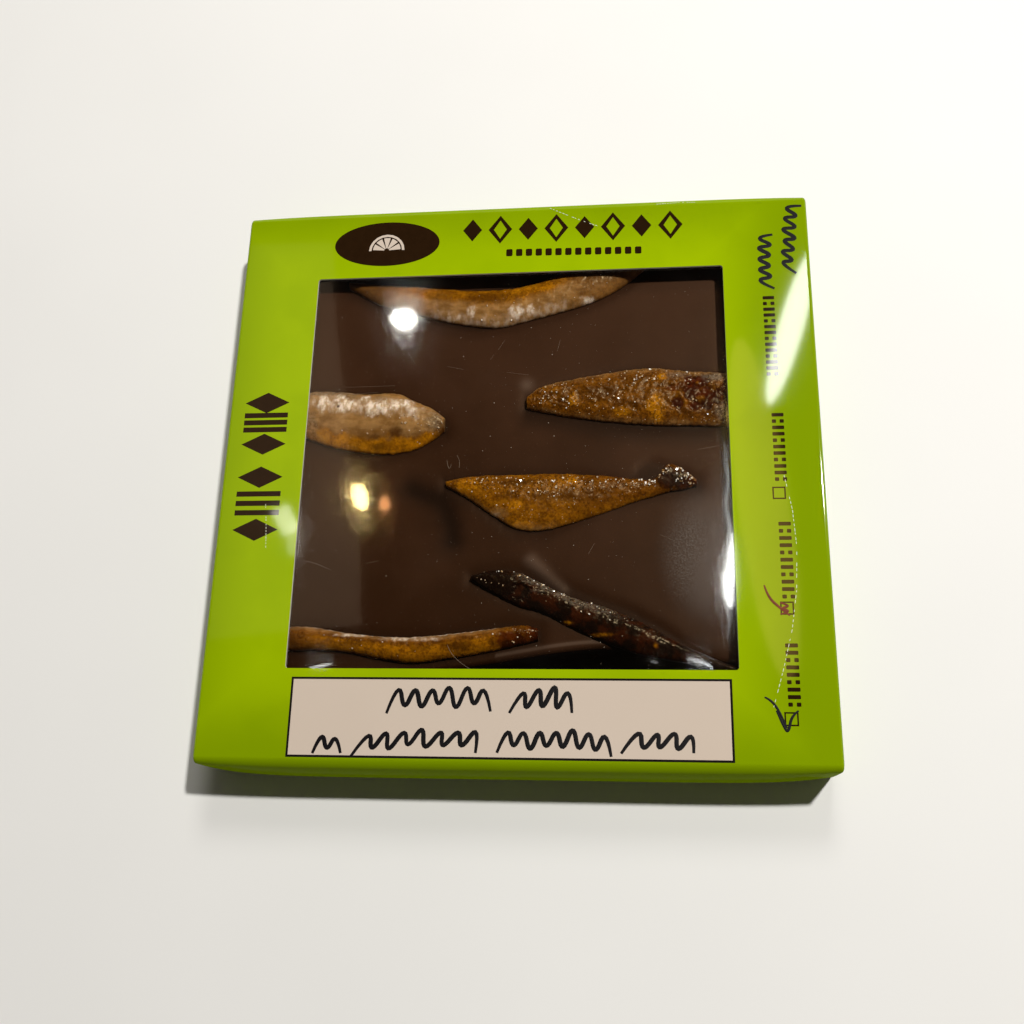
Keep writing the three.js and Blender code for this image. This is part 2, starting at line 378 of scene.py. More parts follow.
def clear_film():
    """Clear film: a sharp mirror, and a fine grain that draws each reflection out along Y."""
    finish = Finish("clear_film")
    grain = finish.noise(0.3 * MM, detail=2, roughness=0.6, stretch=(3, 1, 1))
    crinkle = finish.noise(5 * MM, detail=1)
    smooth_normal = finish.bump(crinkle, 0.003 * MM)
    gloss = None
    total = 0
    for share, roughness, depth in FILM_LOBES:
        normal = finish.bump(grain, depth * MM, smooth_normal) if depth else smooth_normal
        lobe = finish.add("BsdfGlossy", None, {"Color": (1, 1, 1), "Roughness": roughness, "Normal": normal})
        total += share
        gloss = finish.add("MixShader", None, {0: share / total, 1: gloss, 2: lobe}) if gloss else lobe
    clear = finish.add("BsdfTransparent", None, {"Color": (1, 1, 1)})
    slant = finish.add("LayerWeight", None, {"Blend": 0.5}, output=1)
    mirror = slant.math("POWER", 5) * (1 - FILM_GLOSS) + FILM_GLOSS
    sheet = finish.add("MixShader", None, {0: mirror, 1: clear, 2: gloss})
    # A pale diffuse layer, for the light dust and for the painted reflection haze
    dust = finish.add("BsdfDiffuse", None, {"Color": (0.75, 0.7, 0.62)})
    rubbed = finish.noise(11 * MM, detail=3)
    specks = finish.noise(0.5 * MM, detail=3).eased(0.66, 0.82)
    dust_and_painted_haze = rubbed.eased(0.5, 0.85) * 0.001 + specks * 0.003
    # Painted reflection: a grainy pale haze towards the lower right
    aside, along = (
        (finish.axis(finish.place, index) - PAINTED_HAZE_PLACE[index] * MM) * (1 / (PAINTED_HAZE_REACH[index] * MM))
        for index in (0, 1))
    painted_haze_patch = (aside * aside + along * along).eased(1, 0)
    haze_grain = finish.noise(0.3 * MM, detail=2, roughness=0.7).eased(0.42, 0.7)
    dust_and_painted_haze = dust_and_painted_haze + painted_haze_patch * painted_haze_patch * (haze_grain + 0.25) * PAINTED_HAZE_SHARE
    finish.end(finish.add("MixShader", None, {0: dust_and_painted_haze, 1: sheet, 2: dust}))
    return finish.material


def dark_chocolate():
    """Dark chocolate: a broad sheen, with painted shade beside the strips, painted light towards the far side
    and a painted sheen on a ridge, a spot and the rim.
    """
    finish = Finish("dark_chocolate")
    cloud = finish.noise(13 * MM, detail=3)
    pores = finish.noise(0.5 * MM, detail=3)
    # Painted light: the chocolate is lighter towards the far side
    far = finish.axis(finish.place, 1) * (1 / HALF_DEPTH)
    tone = finish.blend((far * 0.5 + cloud).eased(0.1, 0.95), *CHOCOLATE)
    # Painted sheen: lighter on a ridge, a spot and the rim
    tone = finish.blend(finish.mask("bloom"), tone, CHOCOLATE_PAINTED_SHEEN)
    # Painted shade: darker beside the strips and in the dent
    tone = finish.blend(finish.mask("stain") * 0.95, tone, CHOCOLATE_PAINTED_SHADE)
    specks = finish.noise(0.35 * MM, detail=1).eased(0.74, 0.8)
    tone = finish.blend(specks * 0.4, tone, CHOCOLATE_SPECK)
    return finish.surface(
        Base_Color=tone, Roughness=0.4 + cloud * 0.06, Normal=finish.bump(pores, 0.01 * MM),
        Specular_IOR_Level=0.1, Specular_Tint=(1, 0.66, 0.42, 1),
    )


# Colours of the peel, most as a darker and a lighter tone
AMBER = ((0.08, 0.023, 0.0007), (0.18, 0.058, 0.0015))
AMBER_DEEP = (0.048, 0.013, 0.0004)
GOLD = ((0.25, 0.085, 0.0008), (0.47, 0.175, 0.0015))
TAN = ((0.2, 0.092, 0.022), (0.34, 0.175, 0.055))
PITH = ((0.42, 0.28, 0.155), (0.8, 0.65, 0.5))
FROST = ((0.075, 0.05, 0.028), (0.21, 0.165, 0.11))
SYRUP = ((0.03, 0.004, 0.0004), (0.068, 0.0095, 0.0006))
SYRUP_BLACK = (0.007, 0.0026, 0.0012)
SYRUP_DARK = (SYRUP_BLACK, (0.03, 0.006, 0.0012))
# Painted glints on the sugar
CRYSTAL_PAINTED_GLINT = (0.85, 0.66, 0.42)
SUGAR_STOPS = [(0.3, (0.3, 0.14, 0.03)), (0.5, (0.62, 0.45, 0.26)), (0.72, (0.92, 0.88, 0.8))]


def candied(name, syrup, crystals_on_syrup):
    """Candied peel. Masks in the mesh say where it is golden, tan, pith, syrupy dark, frosted or sugared."""
    finish = Finish(name)
    grit = finish.noise(0.5 * MM, detail=2, roughness=0.6)
    broad = finish.noise(2.1 * MM, detail=3)
    fibres = finish.noise(0.8 * MM, detail=3, stretch=(3, 1, 1))
    ribs = finish.noise(1.0 * MM, detail=2, stretch=(1, 2.6, 1))
    rich = (broad * 0.55 + grit * 0.45).eased(0.38, 0.62)
    tone = finish.blend(rich, *AMBER)
    glow = (finish.mask("glow") * (0.7 + grit * 0.6)).eased(0.05, 0.95)
    tone = finish.blend(glow, tone, finish.blend(rich, *GOLD))
    tan = finish.blend((fibres * 0.5 + broad * 0.5).eased(0.35, 0.65), *TAN)
    tone = finish.blend(finish.mask("tan") * (0.75 + broad * 0.4), tone, tan)
    tone = finish.blend(finish.mask("deep") * (0.6 + broad * 0.7), tone, AMBER_DEEP)
    pith = finish.blend((ribs * 0.75 + grit * 0.25).eased(0.38, 0.6), *PITH)
    tone = finish.blend((finish.mask("pith") * (0.5 + ribs)).eased(0.08, 0.9), tone, pith)
    tone = finish.blend(finish.mask("frost"), tone, finish.blend(grit.eased(0.35, 0.62), *FROST))
    dark = finish.mask("dark")
    tone = finish.blend(dark, tone, finish.blend(broad.eased(0.4, 0.65), *syrup))
    tone = finish.blend(dark * finish.mask("deep"), tone, SYRUP_BLACK)
    tone = finish.blend(dark * finish.mask("frost") * grit.eased(0.3, 0.6), tone, FROST[1])
    sugar = finish.mask("sugar") * (1 - dark * (1 - crystals_on_syrup))
    # Painted shade: dark pits on the sugar beside the painted glints
    painted_pit_shade = (1 - finish.noise(0.42 * MM, detail=1).eased(0.36, 0.5)) * sugar * 0.75
    tone = finish.blend(painted_pit_shade, tone, AMBER_DEEP)
    # Painted highlights: bright dots in clusters on the sugar, where crystals would catch the light
    clusters = finish.noise(1.6 * MM, detail=2).eased(0.5, 0.6)
    painted_glint = (1 - finish.cells(0.55 * MM).eased(0.1, 0.24)) * clusters
    tone = finish.blend(painted_glint * sugar, tone, CRYSTAL_PAINTED_GLINT)
    crust = finish.noise(0.38 * MM, detail=3, roughness=0.6) * (sugar * 0.8 + 0.2)
    return finish.surface(
        Base_Color=tone, Roughness=finish.mask("pith") * 0.3 + grit * 0.15 + 0.22,
        Normal=finish.bump(crust, 0.09 * MM), Specular_IOR_Level=0.17, Specular_Tint=(1, 0.78, 0.45, 1),
        Subsurface_Weight=0.15, Subsurface_Radius=(1.0, 0.42, 0.12), Subsurface_Scale=0.9 * MM,
    )


def sugar():
    """Grains of sugar, some clear amber and some white."""
    finish = Finish("sugar")
    pick = finish.noise(0.7 * MM, detail=0)
    tone = finish.ramp(pick, SUGAR_STOPS)
    return finish.surface(Base_Color=tone, Roughness=0.16, Specular_IOR_Level=0.8)


# Making pieces

def finish_piece(obj, replaced=None, sharp=35):
    """Smooths a piece but for its sharp edges, and lets it ride on the pack."""
    mesh = obj.data
    mesh.polygons.foreach_set("use_smooth", [True] * len(mesh.polygons))
    mesh.set_sharp_from_angle(angle=math.radians(sharp))
    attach(obj, "root")
    if replaced:
        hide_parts(replaced)


def put_in_scene(name, data):
    obj = bpy.data.objects.new(name, data)
    bpy.context.scene.collection.objects.link(obj)
    return obj


def object_from(name, bm, materials):
    mesh = bpy.data.meshes.new(name)
    bm.to_mesh(mesh)
    bm.free()
    for material in materials:
        mesh.materials.append(material)
    return put_in_scene(name, mesh)


def made_mesh(obj):
    """A mesh of what an object's modifiers or curve make."""
    depsgraph = bpy.context.evaluated_depsgraph_get()
    return bpy.data.meshes.new_from_object(obj.evaluated_get(depsgraph), depsgraph=depsgraph)


def piece_from(name, bm, material, replaced=None, sharp=35):
    """Ends a mesh that was laid out in millimetres as a piece."""
    bmesh.ops.scale(bm, vec=(MM, MM, MM), verts=bm.verts)
    finish_piece(object_from(name, bm, [material]), replaced, sharp)


def verts_of(result):
    return [item for item in result["geom"] if isinstance(item, bmesh.types.BMVert)]


def open_edges(bm):
    return [edge for edge in bm.edges if edge.is_boundary]


def drawn_out(bm):
    """The new vertices of a wall that is drawn out from the open edges."""
    return verts_of(bmesh.ops.extrude_edge_only(bm, edges=open_edges(bm)))


def close_foot(bm):
    bmesh.ops.holes_fill(bm, edges=open_edges(bm), sides=0)
    bmesh.ops.triangulate(bm, faces=[face for face in bm.faces if len(face.verts) > 4])
    bmesh.ops.recalc_face_normals(bm, faces=bm.faces)


def rounded(bm, geom, radius, steps, affect="VERTICES"):
    """Rounds corners or edges off."""
    return bmesh.ops.bevel(
        bm, geom=geom, offset=radius, offset_type="OFFSET", segments=steps, profile=0.5, affect=affect,
        material=-1,
    )["verts"]


# Carton

def bow(x, z):
    """How far a closure wall stands out at a place across it and up it."""
    across = 1 - min(1, abs(x) / HALF_WIDTH) ** BOW_FLATNESS
    up = math.sin(math.pi * min(1, max(0, z / HEIGHT)) ** BOW_LOWNESS)
    return END_BOW * across * max(0, up) ** BOW_FULLNESS


def block_stations(half, side_fold):
    """Places across a block, each with how far its side folds tuck it in there."""
    turns = [math.pi / 2 * step / FOLD_STEPS for step in range(FOLD_STEPS + 1)]
    arc = [(side_fold * (1 - math.cos(turn)), side_fold * (1 - math.sin(turn))) for turn in turns]
    reach = half - side_fold
    places = [(-half + along, tuck) for along, tuck in arc]
    places += [(-reach * math.cos(math.pi * step / BOW_STEPS), 0) for step in range(1, BOW_STEPS)]
    return places + [(half - along, tuck) for along, tuck in reversed(arc)]


def carton_block(inset, material):
    """The carton's outside, or its inside when inset by the board, as a closed block."""
    half = HALF_WIDTH - inset
    edge = HALF_DEPTH - inset
    top = FACE - inset
    middle = (top + inset) / 2
    fold = END_FOLD - inset
    side_fold = max(LEAST_FOLD, SIDE_FOLD - inset)
    bm = bmesh.new()
    upright = Matrix.Rotation(math.pi / 2, 4, "Y")
    bmesh.ops.create_grid(bm, x_segments=1, y_segments=1, size=0.5, matrix=upright)
    bmesh.ops.scale(bm, vec=(1, 2 * edge, top - inset), verts=bm.verts)
    bmesh.ops.translate(bm, vec=(-half, 0, middle), verts=bm.verts)
    rounded(bm, bm.verts[:], fold, FOLD_STEPS)
    section = bm.verts.layers.float_vector.new("section")
    for vert in bm.verts:
        vert[section] = vert.co
    region = bm.faces[:] + bm.edges[:] + bm.verts[:]
    ring = bm.verts[:]
    for index, (x, tuck) in enumerate(block_stations(half, side_fold)):
        if index:
            drawn = bmesh.ops.extrude_face_region(bm, geom=region)
            region = drawn["geom"]
            ring = verts_of(drawn)
        shrink_y = (edge - tuck) / edge
        shrink_z = (top - middle - tuck) / (top - middle)
        for vert in ring:
            _, y, z = vert[section]
            vert.co = (x, y * shrink_y, middle + (z - middle) * shrink_z)
    bm.verts.layers.float_vector.remove(section)
    for step in range(1, WALL_STEPS):
        height = inset + fold + (top - inset - 2 * fold) * step / WALL_STEPS
        geometry = bm.verts[:] + bm.edges[:] + bm.faces[:]
        bmesh.ops.bisect_plane(bm, geom=geometry, dist=1e-7, plane_co=(0, 0, height), plane_no=(0, 0, 1))
    for vert in bm.verts:
        grip = min(1, max(0, (abs(vert.co.y) - (edge - fold)) / fold))
        vert.co.y += math.copysign(grip * bow(vert.co.x, vert.co.z), vert.co.y)
    bmesh.ops.recalc_face_normals(bm, faces=bm.faces)
    return object_from("block", bm, [material])


def box_cutter(size, place, material, corner=0.0):
    """A block that cuts the board. Its upright edges are rounded by corner."""
    bm = bmesh.new()
    bmesh.ops.create_cube(bm, size=1, matrix=Matrix.Translation(place) @ Matrix.Diagonal((*size, 1)))
    if corner:
        upright = [edge for edge in bm.edges if abs(edge.verts[0].co.z - edge.verts[1].co.z) > size[2] / 2]
        rounded(bm, upright, corner, 6, "EDGES")
    return object_from("cutter", bm, [material])


def carve(obj, cutters):
    """Cuts each cutter out of the object and removes it."""
    for cutter in cutters:
        cut = obj.modifiers.new("cut", "BOOLEAN")
        cut.operation = "DIFFERENCE"
        cut.solver = "EXACT"
        cut.material_mode = "TRANSFER"
        cut.object = cutter
    carved = made_mesh(obj)
    obj.modifiers.clear()
    obj.data = carved
    for cutter in cutters:
        bpy.data.objects.remove(cutter)


def carton_shell(board, core, inside):
    shell = carton_block(0, board)
    window_place = (WINDOW_MIDDLE.x, WINDOW_MIDDLE.y, HEIGHT)
    window_size = (WINDOW_WIDTH, WINDOW_DEPTH, 4 * BOARD)
    cutters = [carton_block(BOARD, inside), box_cutter(window_size, window_place, core, WINDOW_CORNER)]
    seam_height = HEIGHT - 2 * END_FOLD
    for end in (-1, 1):
        seam_y = end * (HALF_DEPTH - SEAM_INSET - BOARD)
        foot = (2 * (HALF_WIDTH - SEAM_INSET), SEAM_WIDTH, 2 * SEAM_CUT)
        cutters.append(box_cutter(foot, (0, seam_y, 0), core))
        for side in (-1, 1):
            upright = (2 * SEAM_CUT, SEAM_WIDTH, seam_height)
            cutters.append(box_cutter(upright, (side * HALF_WIDTH, seam_y, HEIGHT / 2), core))
    join = (2 * SEAM_CUT, 2 * (HALF_DEPTH - 2 * SEAM_INSET - BOARD), SEAM_WIDTH)
    cutters.append(box_cutter(join, (-HALF_WIDTH, 0, SIDE_FOLD + SEAM_INSET), core))
    carve(shell, cutters)
    shell.name = "carton_shell"
    finish_piece(shell, "carton", sharp=28)
    shell.modifiers.new("level", "WEIGHTED_NORMAL").keep_sharp = True


# Print

def add_field(bm, size, place=(0, 0), corner=0.0, border=0.0):
    """Adds a flat printed rectangle, with rounded corners or only its border where asked. Millimetres."""
    made = bmesh.ops.create_grid(bm, x_segments=1, y_segments=1, size=0.5)["verts"]
    bmesh.ops.scale(bm, vec=(*size, 1), verts=made)
    if corner:
        made = rounded(bm, made, corner, 4)
    field_to_place(bm, made, place, border)


def add_round(bm, radii, place=(0, 0), sides=72, border=0.0):
    """Adds a flat printed ellipse, or a lozenge where it has four sides. Millimetres."""
    made = bmesh.ops.create_circle(bm, cap_ends=True, segments=sides, radius=1)["verts"]
    bmesh.ops.scale(bm, vec=(*radii, 1), verts=made)
    field_to_place(bm, made, place, border)


def add_sector(bm, inner, outer, start, end, place):
    """Adds a flat printed sector of a ring between two angles. Millimetres and radians."""
    ends = [bm.verts.new((reach * math.cos(start), reach * math.sin(start), 0)) for reach in (inner, outer)]
    line = [*ends, bm.edges.new(ends)]
    before = set(bm.faces)
    bmesh.ops.spin(
        bm, geom=line, cent=(0, 0, 0), axis=(0, 0, 1), angle=end - start, steps=SECTOR_STEPS,
        use_duplicate=False,
    )
    made = [face for face in bm.faces if face not in before]
    field_to_place(bm, {vert for face in made for vert in face.verts}, place, 0)


def field_to_place(bm, made, place, border):
    """Leaves a field's border where it has one, and thickens and places it on the board."""
    faces = list({face for vert in made for face in vert.link_faces})
    if border:
        ring = bmesh.ops.inset_region(bm, faces=faces, thickness=border, use_boundary=True)["faces"]
        bmesh.ops.delete(bm, geom=faces, context="FACES")
        faces = ring
    thick = verts_of(bmesh.ops.extrude_face_region(bm, geom=faces))
    bmesh.ops.translate(bm, vec=(0, 0, -2 * INK / MM), verts=thick)
    whole = list({vert for face in faces for vert in face.verts} | set(thick))
    bmesh.ops.translate(bm, vec=(*place, PRINT_TOP / MM), verts=whole)


def print_piece(name, bm, material, rise=0.0):
    bmesh.ops.recalc_face_normals(bm, faces=bm.faces)
    bmesh.ops.translate(bm, vec=(0, 0, rise), verts=bm.verts)
    piece_from(name, bm, material)


PANEL_SIZE = (82.8, 15.0)
PANEL_PLACE = (-0.5, -50.15)
PANEL_LINE = 0.6
BADGE_PLACE = (-28.9, 51.15)
BADGE_RADII = (11.5, 5.35)
SLICE_RADIUS = 3.9
SLICE_WEDGES = 5
SLICE_DROP = 1.6
WEDGE_REACH = (0.14, 0.78)
RIND_REACH = (0.86, 1.0)
WEDGE_GAP = 0.07
SECTOR_STEPS = 10


def writing_panel(cream, ink):
    bm = bmesh.new()
    add_field(bm, (PANEL_SIZE[0] - PANEL_LINE, PANEL_SIZE[1] - PANEL_LINE), PANEL_PLACE)
    print_piece("writing_panel", bm, cream)
    bm = bmesh.new()
    add_field(bm, PANEL_SIZE, PANEL_PLACE, border=PANEL_LINE)
    print_piece("panel_outline", bm, ink)


def badge(brown, cream):
    """An oval field with half a slice of orange in it."""
    bm = bmesh.new()
    add_round(bm, BADGE_RADII, BADGE_PLACE)
    print_piece("badge", bm, brown)
    bm = bmesh.new()
    centre = (BADGE_PLACE[0], BADGE_PLACE[1] - SLICE_DROP)
    wedge = math.pi / SLICE_WEDGES
    inner, outer = (share * SLICE_RADIUS for share in WEDGE_REACH)
    for index in range(SLICE_WEDGES):
        add_sector(bm, inner, outer, wedge * index + WEDGE_GAP, wedge * (index + 1) - WEDGE_GAP, centre)
    inner, outer = (share * SLICE_RADIUS for share in RIND_REACH)
    add_sector(bm, inner, outer, 0, math.pi, centre)
    print_piece("badge_slice", bm, cream, rise=INK / MM)


TITLE_COUNT = 8
TITLE_ENDS = ((-10.3, 53.7), (31.8, 53.2))
TITLE_RADII = (2.55, 3.4)
TITLE_LINE = 1.15
TITLE_SMALL = (2.05, 2.7)
SUBTITLE_COUNT = 14
SUBTITLE_ENDS = ((-2.2, 47.9), (25.0, 47.4))
SUBTITLE_SIZE = (1.35, 1.7)
SUBTITLE_CORNER = 0.3
SIDE_MARKS_X = -52.1
SIDE_LOZENGES = [-13.2, -2.0, 5.2, 14.4]
SIDE_LOZENGE = (4.7, 2.3)
SIDE_BARS = [-9.6, -7.6, -5.6, 8.4, 10.0, 11.6]
SIDE_BAR = (9.2, 1.1)
# Rows of marks: (x, from y, to y)
LABELS = [(51.2, 18.2, 35.2), (51.7, -4.0, 9.4), (51.9, -27.2, -13.0), (51.9, -47.2, -36.4)]
LABEL_MARK = (2.3, 0.74)
LABEL_BLOCK = 0.8
LABEL_CORNER = 0.15
LABEL_PITCH = 1.24
TICK_BOXES = [(51.2, -6.8), (51.5, -29.4), (51.2, -49.8)]
TICK_BOX = 2.5
TICK_LINE = 0.38


def row(first, last, count):
    """Evenly spaced places from first to last."""
    shares = [index / (count - 1) for index in range(count)]
    return [tuple(mix(a, b, share) for a, b in zip(first, last)) for share in shares]


def printed_marks(brown):
    """Plain ornaments: lozenges, bars, blocks and tick boxes."""
    bm = bmesh.new()
    for index, place in enumerate(row(*TITLE_ENDS, TITLE_COUNT)):
        if index % 2:
            add_round(bm, TITLE_RADII, place, sides=4, border=TITLE_LINE)
        else:
            add_round(bm, TITLE_SMALL, place, sides=4)
    for place in row(*SUBTITLE_ENDS, SUBTITLE_COUNT):
        add_field(bm, SUBTITLE_SIZE, place, corner=SUBTITLE_CORNER)
    print_piece("title_ornaments", bm, brown)
    bm = bmesh.new()
    for y in SIDE_LOZENGES:
        add_round(bm, SIDE_LOZENGE, (SIDE_MARKS_X, y), sides=4)
    for y in SIDE_BARS:
        add_field(bm, SIDE_BAR, (SIDE_MARKS_X, y))
    print_piece("side_ornaments", bm, brown)
    bm = bmesh.new()
    for x, low, high in LABELS:
        count = round((high - low) / LABEL_PITCH)
        for index, (_, y) in enumerate(row((x, low), (x, high), count)):
            if index % 3:
                add_field(bm, LABEL_MARK, (x, y), corner=LABEL_CORNER)
                continue
            for side in (-1, 1):
                place = (x + side * (LABEL_MARK[0] - LABEL_BLOCK) / 2, y)
                add_field(bm, (LABEL_BLOCK, LABEL_MARK[1]), place, corner=LABEL_CORNER)
    for place in TICK_BOXES:
        add_field(bm, (TICK_BOX, TICK_BOX), place, border=TICK_LINE)
    print_piece("label_marks", bm, brown)


# Pen strokes, scuffs and hairs

STROKE_TIP = 0.55
STROKE_BODY = 0.9
STROKE_SWELLS = [(0.18, 2.3, 0.0)]
WAVE_REACH = (0.75, 1.1)
WAVE_SLIP = (0.7, 1.3)


def strokes(name, paths, width, thickness, material, height):
    """Lines laid flat, with tapered round ends. Each path is a list of (x, y) or (x, y, z) in mm."""
    curve = bpy.data.curves.new(name, "CURVE")
    curve.dimensions = "3D"
    curve.bevel_depth = width / 2 * MM
    curve.bevel_resolution = 2
    curve.resolution_u = 6
    curve.use_fill_caps = True
    for path in paths:
        line = curve.splines.new("NURBS")
        line.points.add(len(path) - 1)
        line.order_u = 3
        line.use_endpoint_u = True
        for index, (point, place) in enumerate(zip(line.points, path)):
            rise = place[2] if len(place) > 2 else 0
            point.co = (place[0] * MM, place[1] * MM, rise * MM, 1)
            point.radius = STROKE_BODY + hills(*place[:2], STROKE_SWELLS)
            if index in (0, len(path) - 1):
                point.radius = STROKE_TIP
    holder = put_in_scene(name, curve)
    mesh = made_mesh(holder)
    bpy.data.objects.remove(holder)
    bm = bmesh.new()
    bm.from_mesh(mesh)
    bpy.data.meshes.remove(mesh)
    bmesh.ops.remove_doubles(bm, verts=bm.verts, dist=1e-7)
    if thickness < width:
        bmesh.ops.scale(bm, vec=(1, 1, thickness / width), verts=bm.verts)
    bmesh.ops.translate(bm, vec=(0, 0, height), verts=bm.verts)
    bmesh.ops.recalc_face_normals(bm, faces=bm.faces)
    finish_piece(object_from(name, bm, [material]), sharp=60)


def waves(start, end, height, count, lean, draw):
    """A loose hand-drawn wave from start to end, with count crests. A big lean makes loops."""
    start, end = Vector(start), Vector(end)
    along = (end - start).normalized()
    across = Vector((-along.y, along.x))
    step = (end - start).length / (2 * count)
    path = []
    for index in range(2 * count + 1):
        side = 1 if index % 2 else -1
        reach = height / 2 * side * draw.uniform(*WAVE_REACH)
        slip = lean * step * side * draw.uniform(*WAVE_SLIP)
        path.append(tuple(start + along * (step * index + slip) + across * reach))
    return path


PEN_WIDTH = 0.95
TICK_WIDTH = 0.55
SCUFF_WIDTH = 0.16
SCUFF_DASHES = 8
SCUFF_SHARE = 0.85
SCUFF_REACH = (0.05, 0.1)
# Waves are (start, end, height, crests, lean)
PANEL_WAVES = [
    ((-22.8, -46.4), (-3.2, -46.2), 6.7, 6, 0.2), ((0.8, -46.6), (12.2, -46.2), 6.7, 4, 0.6),
    ((-36.6, -54.7), (-31.2, -54.5), 4.4, 2, 0.2), ((-28.4, -54.1), (-4.8, -54.0), 5.9, 7, 0.6),
    ((-1.8, -54.0), (19.2, -53.9), 5.9, 7, 0.2), ((21.8, -53.9), (34.4, -53.8), 5.8, 4, 0.6),
]
MARGIN_WAVES = [((50.4, 37.8), (50.9, 50.2), 4.6, 5, 0.3), ((55.4, 41.4), (56.6, 57.2), 4.6, 6, 0.4)]
TICKS_BLACK = [
    [(46.6, -45.9), (47.8, -46.4), (49.3, -48.8), (50.3, -51.4)],
    [(48.6, -48.3), (50.0, -51.9), (50.6, -51.9), (51.2, -49.2), (52.5, -48.3)],
]
TICKS_RED = [
    [(47.5, -25.0), (48.1, -27.3), (50.0, -29.2), (51.9, -30.8)],
    [(50.2, -30.6), (52.3, -30.0), (50.2, -29.5), (52.3, -28.9), (50.3, -28.4)],
]
SCUFFS = [
    [(52.3, -3.2), (53.5, -10.3), (53.9, -17.5), (53.4, -26.0), (52.2, -33.4), (50.3, -40.6), (48.0, -48.2)],
    [(6.3, 58.4), (11.7, 55.7), (16.6, 53.5)], [(-50.4, -7.8), (-49.9, -12.0), (-49.5, -17.2)],
    [(29.0, 58.3), (33.5, 58.5), (37.2, 58.4)],
]


def pen_and_wear(black, red, scuff):
    draw = random.Random(11)
    lines = [waves(*wave, draw) for wave in PANEL_WAVES + MARGIN_WAVES]
    thick = 2 * INK / MM
    strokes("pen_waves", lines, PEN_WIDTH, thick, black, PRINT_TOP)
    strokes("pen_tick_black", TICKS_BLACK, TICK_WIDTH, thick, black, PRINT_TOP)
    strokes("pen_tick_red", TICKS_RED, TICK_WIDTH, thick, red, PRINT_TOP)
    dashes = []
    for path in SCUFFS:
        for first, last in zip(path, path[1:]):
            reach = Vector(last) - Vector(first)
            for place in row(first, last, SCUFF_DASHES + 1)[:-1]:
                if draw.random() < SCUFF_SHARE:
                    end = Vector(place) + reach * draw.uniform(*SCUFF_REACH)
                    dashes.append([place, tuple((Vector(place) + end) / 2), tuple(end)])
    strokes("scuffs", dashes, SCUFF_WIDTH, thick, scuff, PRINT_TOP)


# Film

FILM_WAVES = [(0.028, 24, 3.0), (0.012, 10, 5.0)]
PUCKERS = [(0.012, 6.5, 9.0)]
PUCKER_REACH = 7


def film_rise(x, y):
    """How far the film stands off flat: slow waves, and puckers near where it is glued. Millimetres."""
    left = x - WINDOW_MIDDLE.x / MM + WINDOW_WIDTH / MM / 2
    right = WINDOW_WIDTH / MM - left
    near = y - WINDOW_MIDDLE.y / MM + WINDOW_DEPTH / MM / 2
    far = WINDOW_DEPTH / MM - near
    edge = 1 - smooth(min(left, right, near, far), 0, PUCKER_REACH)
    return hills(x, y, FILM_WAVES) + edge * hills(x, y, PUCKERS)


def window_film(material):
    width = film_high.x - film_low.x
    depth = film_high.y - film_low.y
    middle = (film_low + film_high) / 2
    bm = bmesh.new()
    bmesh.ops.create_grid(bm, x_segments=FILM_STEPS, y_segments=FILM_STEPS, size=0.5)
    bmesh.ops.scale(bm, vec=(width, depth, 1), verts=bm.verts)
    bmesh.ops.translate(bm, vec=(middle.x, middle.y, 0), verts=bm.verts)
    for vert in bm.verts:
        vert.co.z = FILM_TOP - FILM + film_rise(vert.co.x / MM, vert.co.y / MM) * MM
    bmesh.ops.solidify(bm, geom=bm.faces[:], thickness=-FILM)
    bmesh.ops.recalc_face_normals(bm, faces=bm.faces)
    finish_piece(object_from("clear_window_film", bm, [material]), "window_film")


DUST_COUNT = 360
DUST_FIELD = ((-42.5, 41.8), (-40.5, 42))
DUST_RADII = (0.035, 0.11)
HAIR_WIDTH = 0.07
SCRATCH_WIDTH = 0.045

# Paths as they are drawn on the flat film
HAIRS = [
    [(-43.1, -19.8), (-41.5, -19.6), (-39.4, -20.0), (-37.4, -20.9), (-35.8, -21.5)],
    [(-12.2, -36.3), (-11.6, -37.6), (-10.6, -38.8), (-9.2, -40.0), (-7.7, -40.9)],
    [(-13.8, 1.3), (-13.7, 0.2), (-13.1, -0.9), (-12.9, 0.4)], [(-11.8, 2.3), (-11.0, 1.0), (-11.3, -0.5)],
]
SCRATCHES = [
    [(-5.7, 23.2), (-4.9, 24.4)], [(-4.1, 25.4), (-2.7, 27.7)], [(-2.2, 20.3), (2.4, 19.6)],
    [(-36.0, 17.8), (-25.4, 17.9)], [(-34.2, 16.2), (-28.8, 16.5)], [(28.4, -14.8), (31.6, -16.2)],
    [(14.6, -18.6), (15.8, -16.4)], [(36.0, 2.6), (40.4, 3.4)], [(-29.0, -20.2), (-26.6, -19.6)],
    [(8.2, 24.8), (8.8, 27.4)], [(-14.6, 22.0), (-11.2, 21.2)],
]


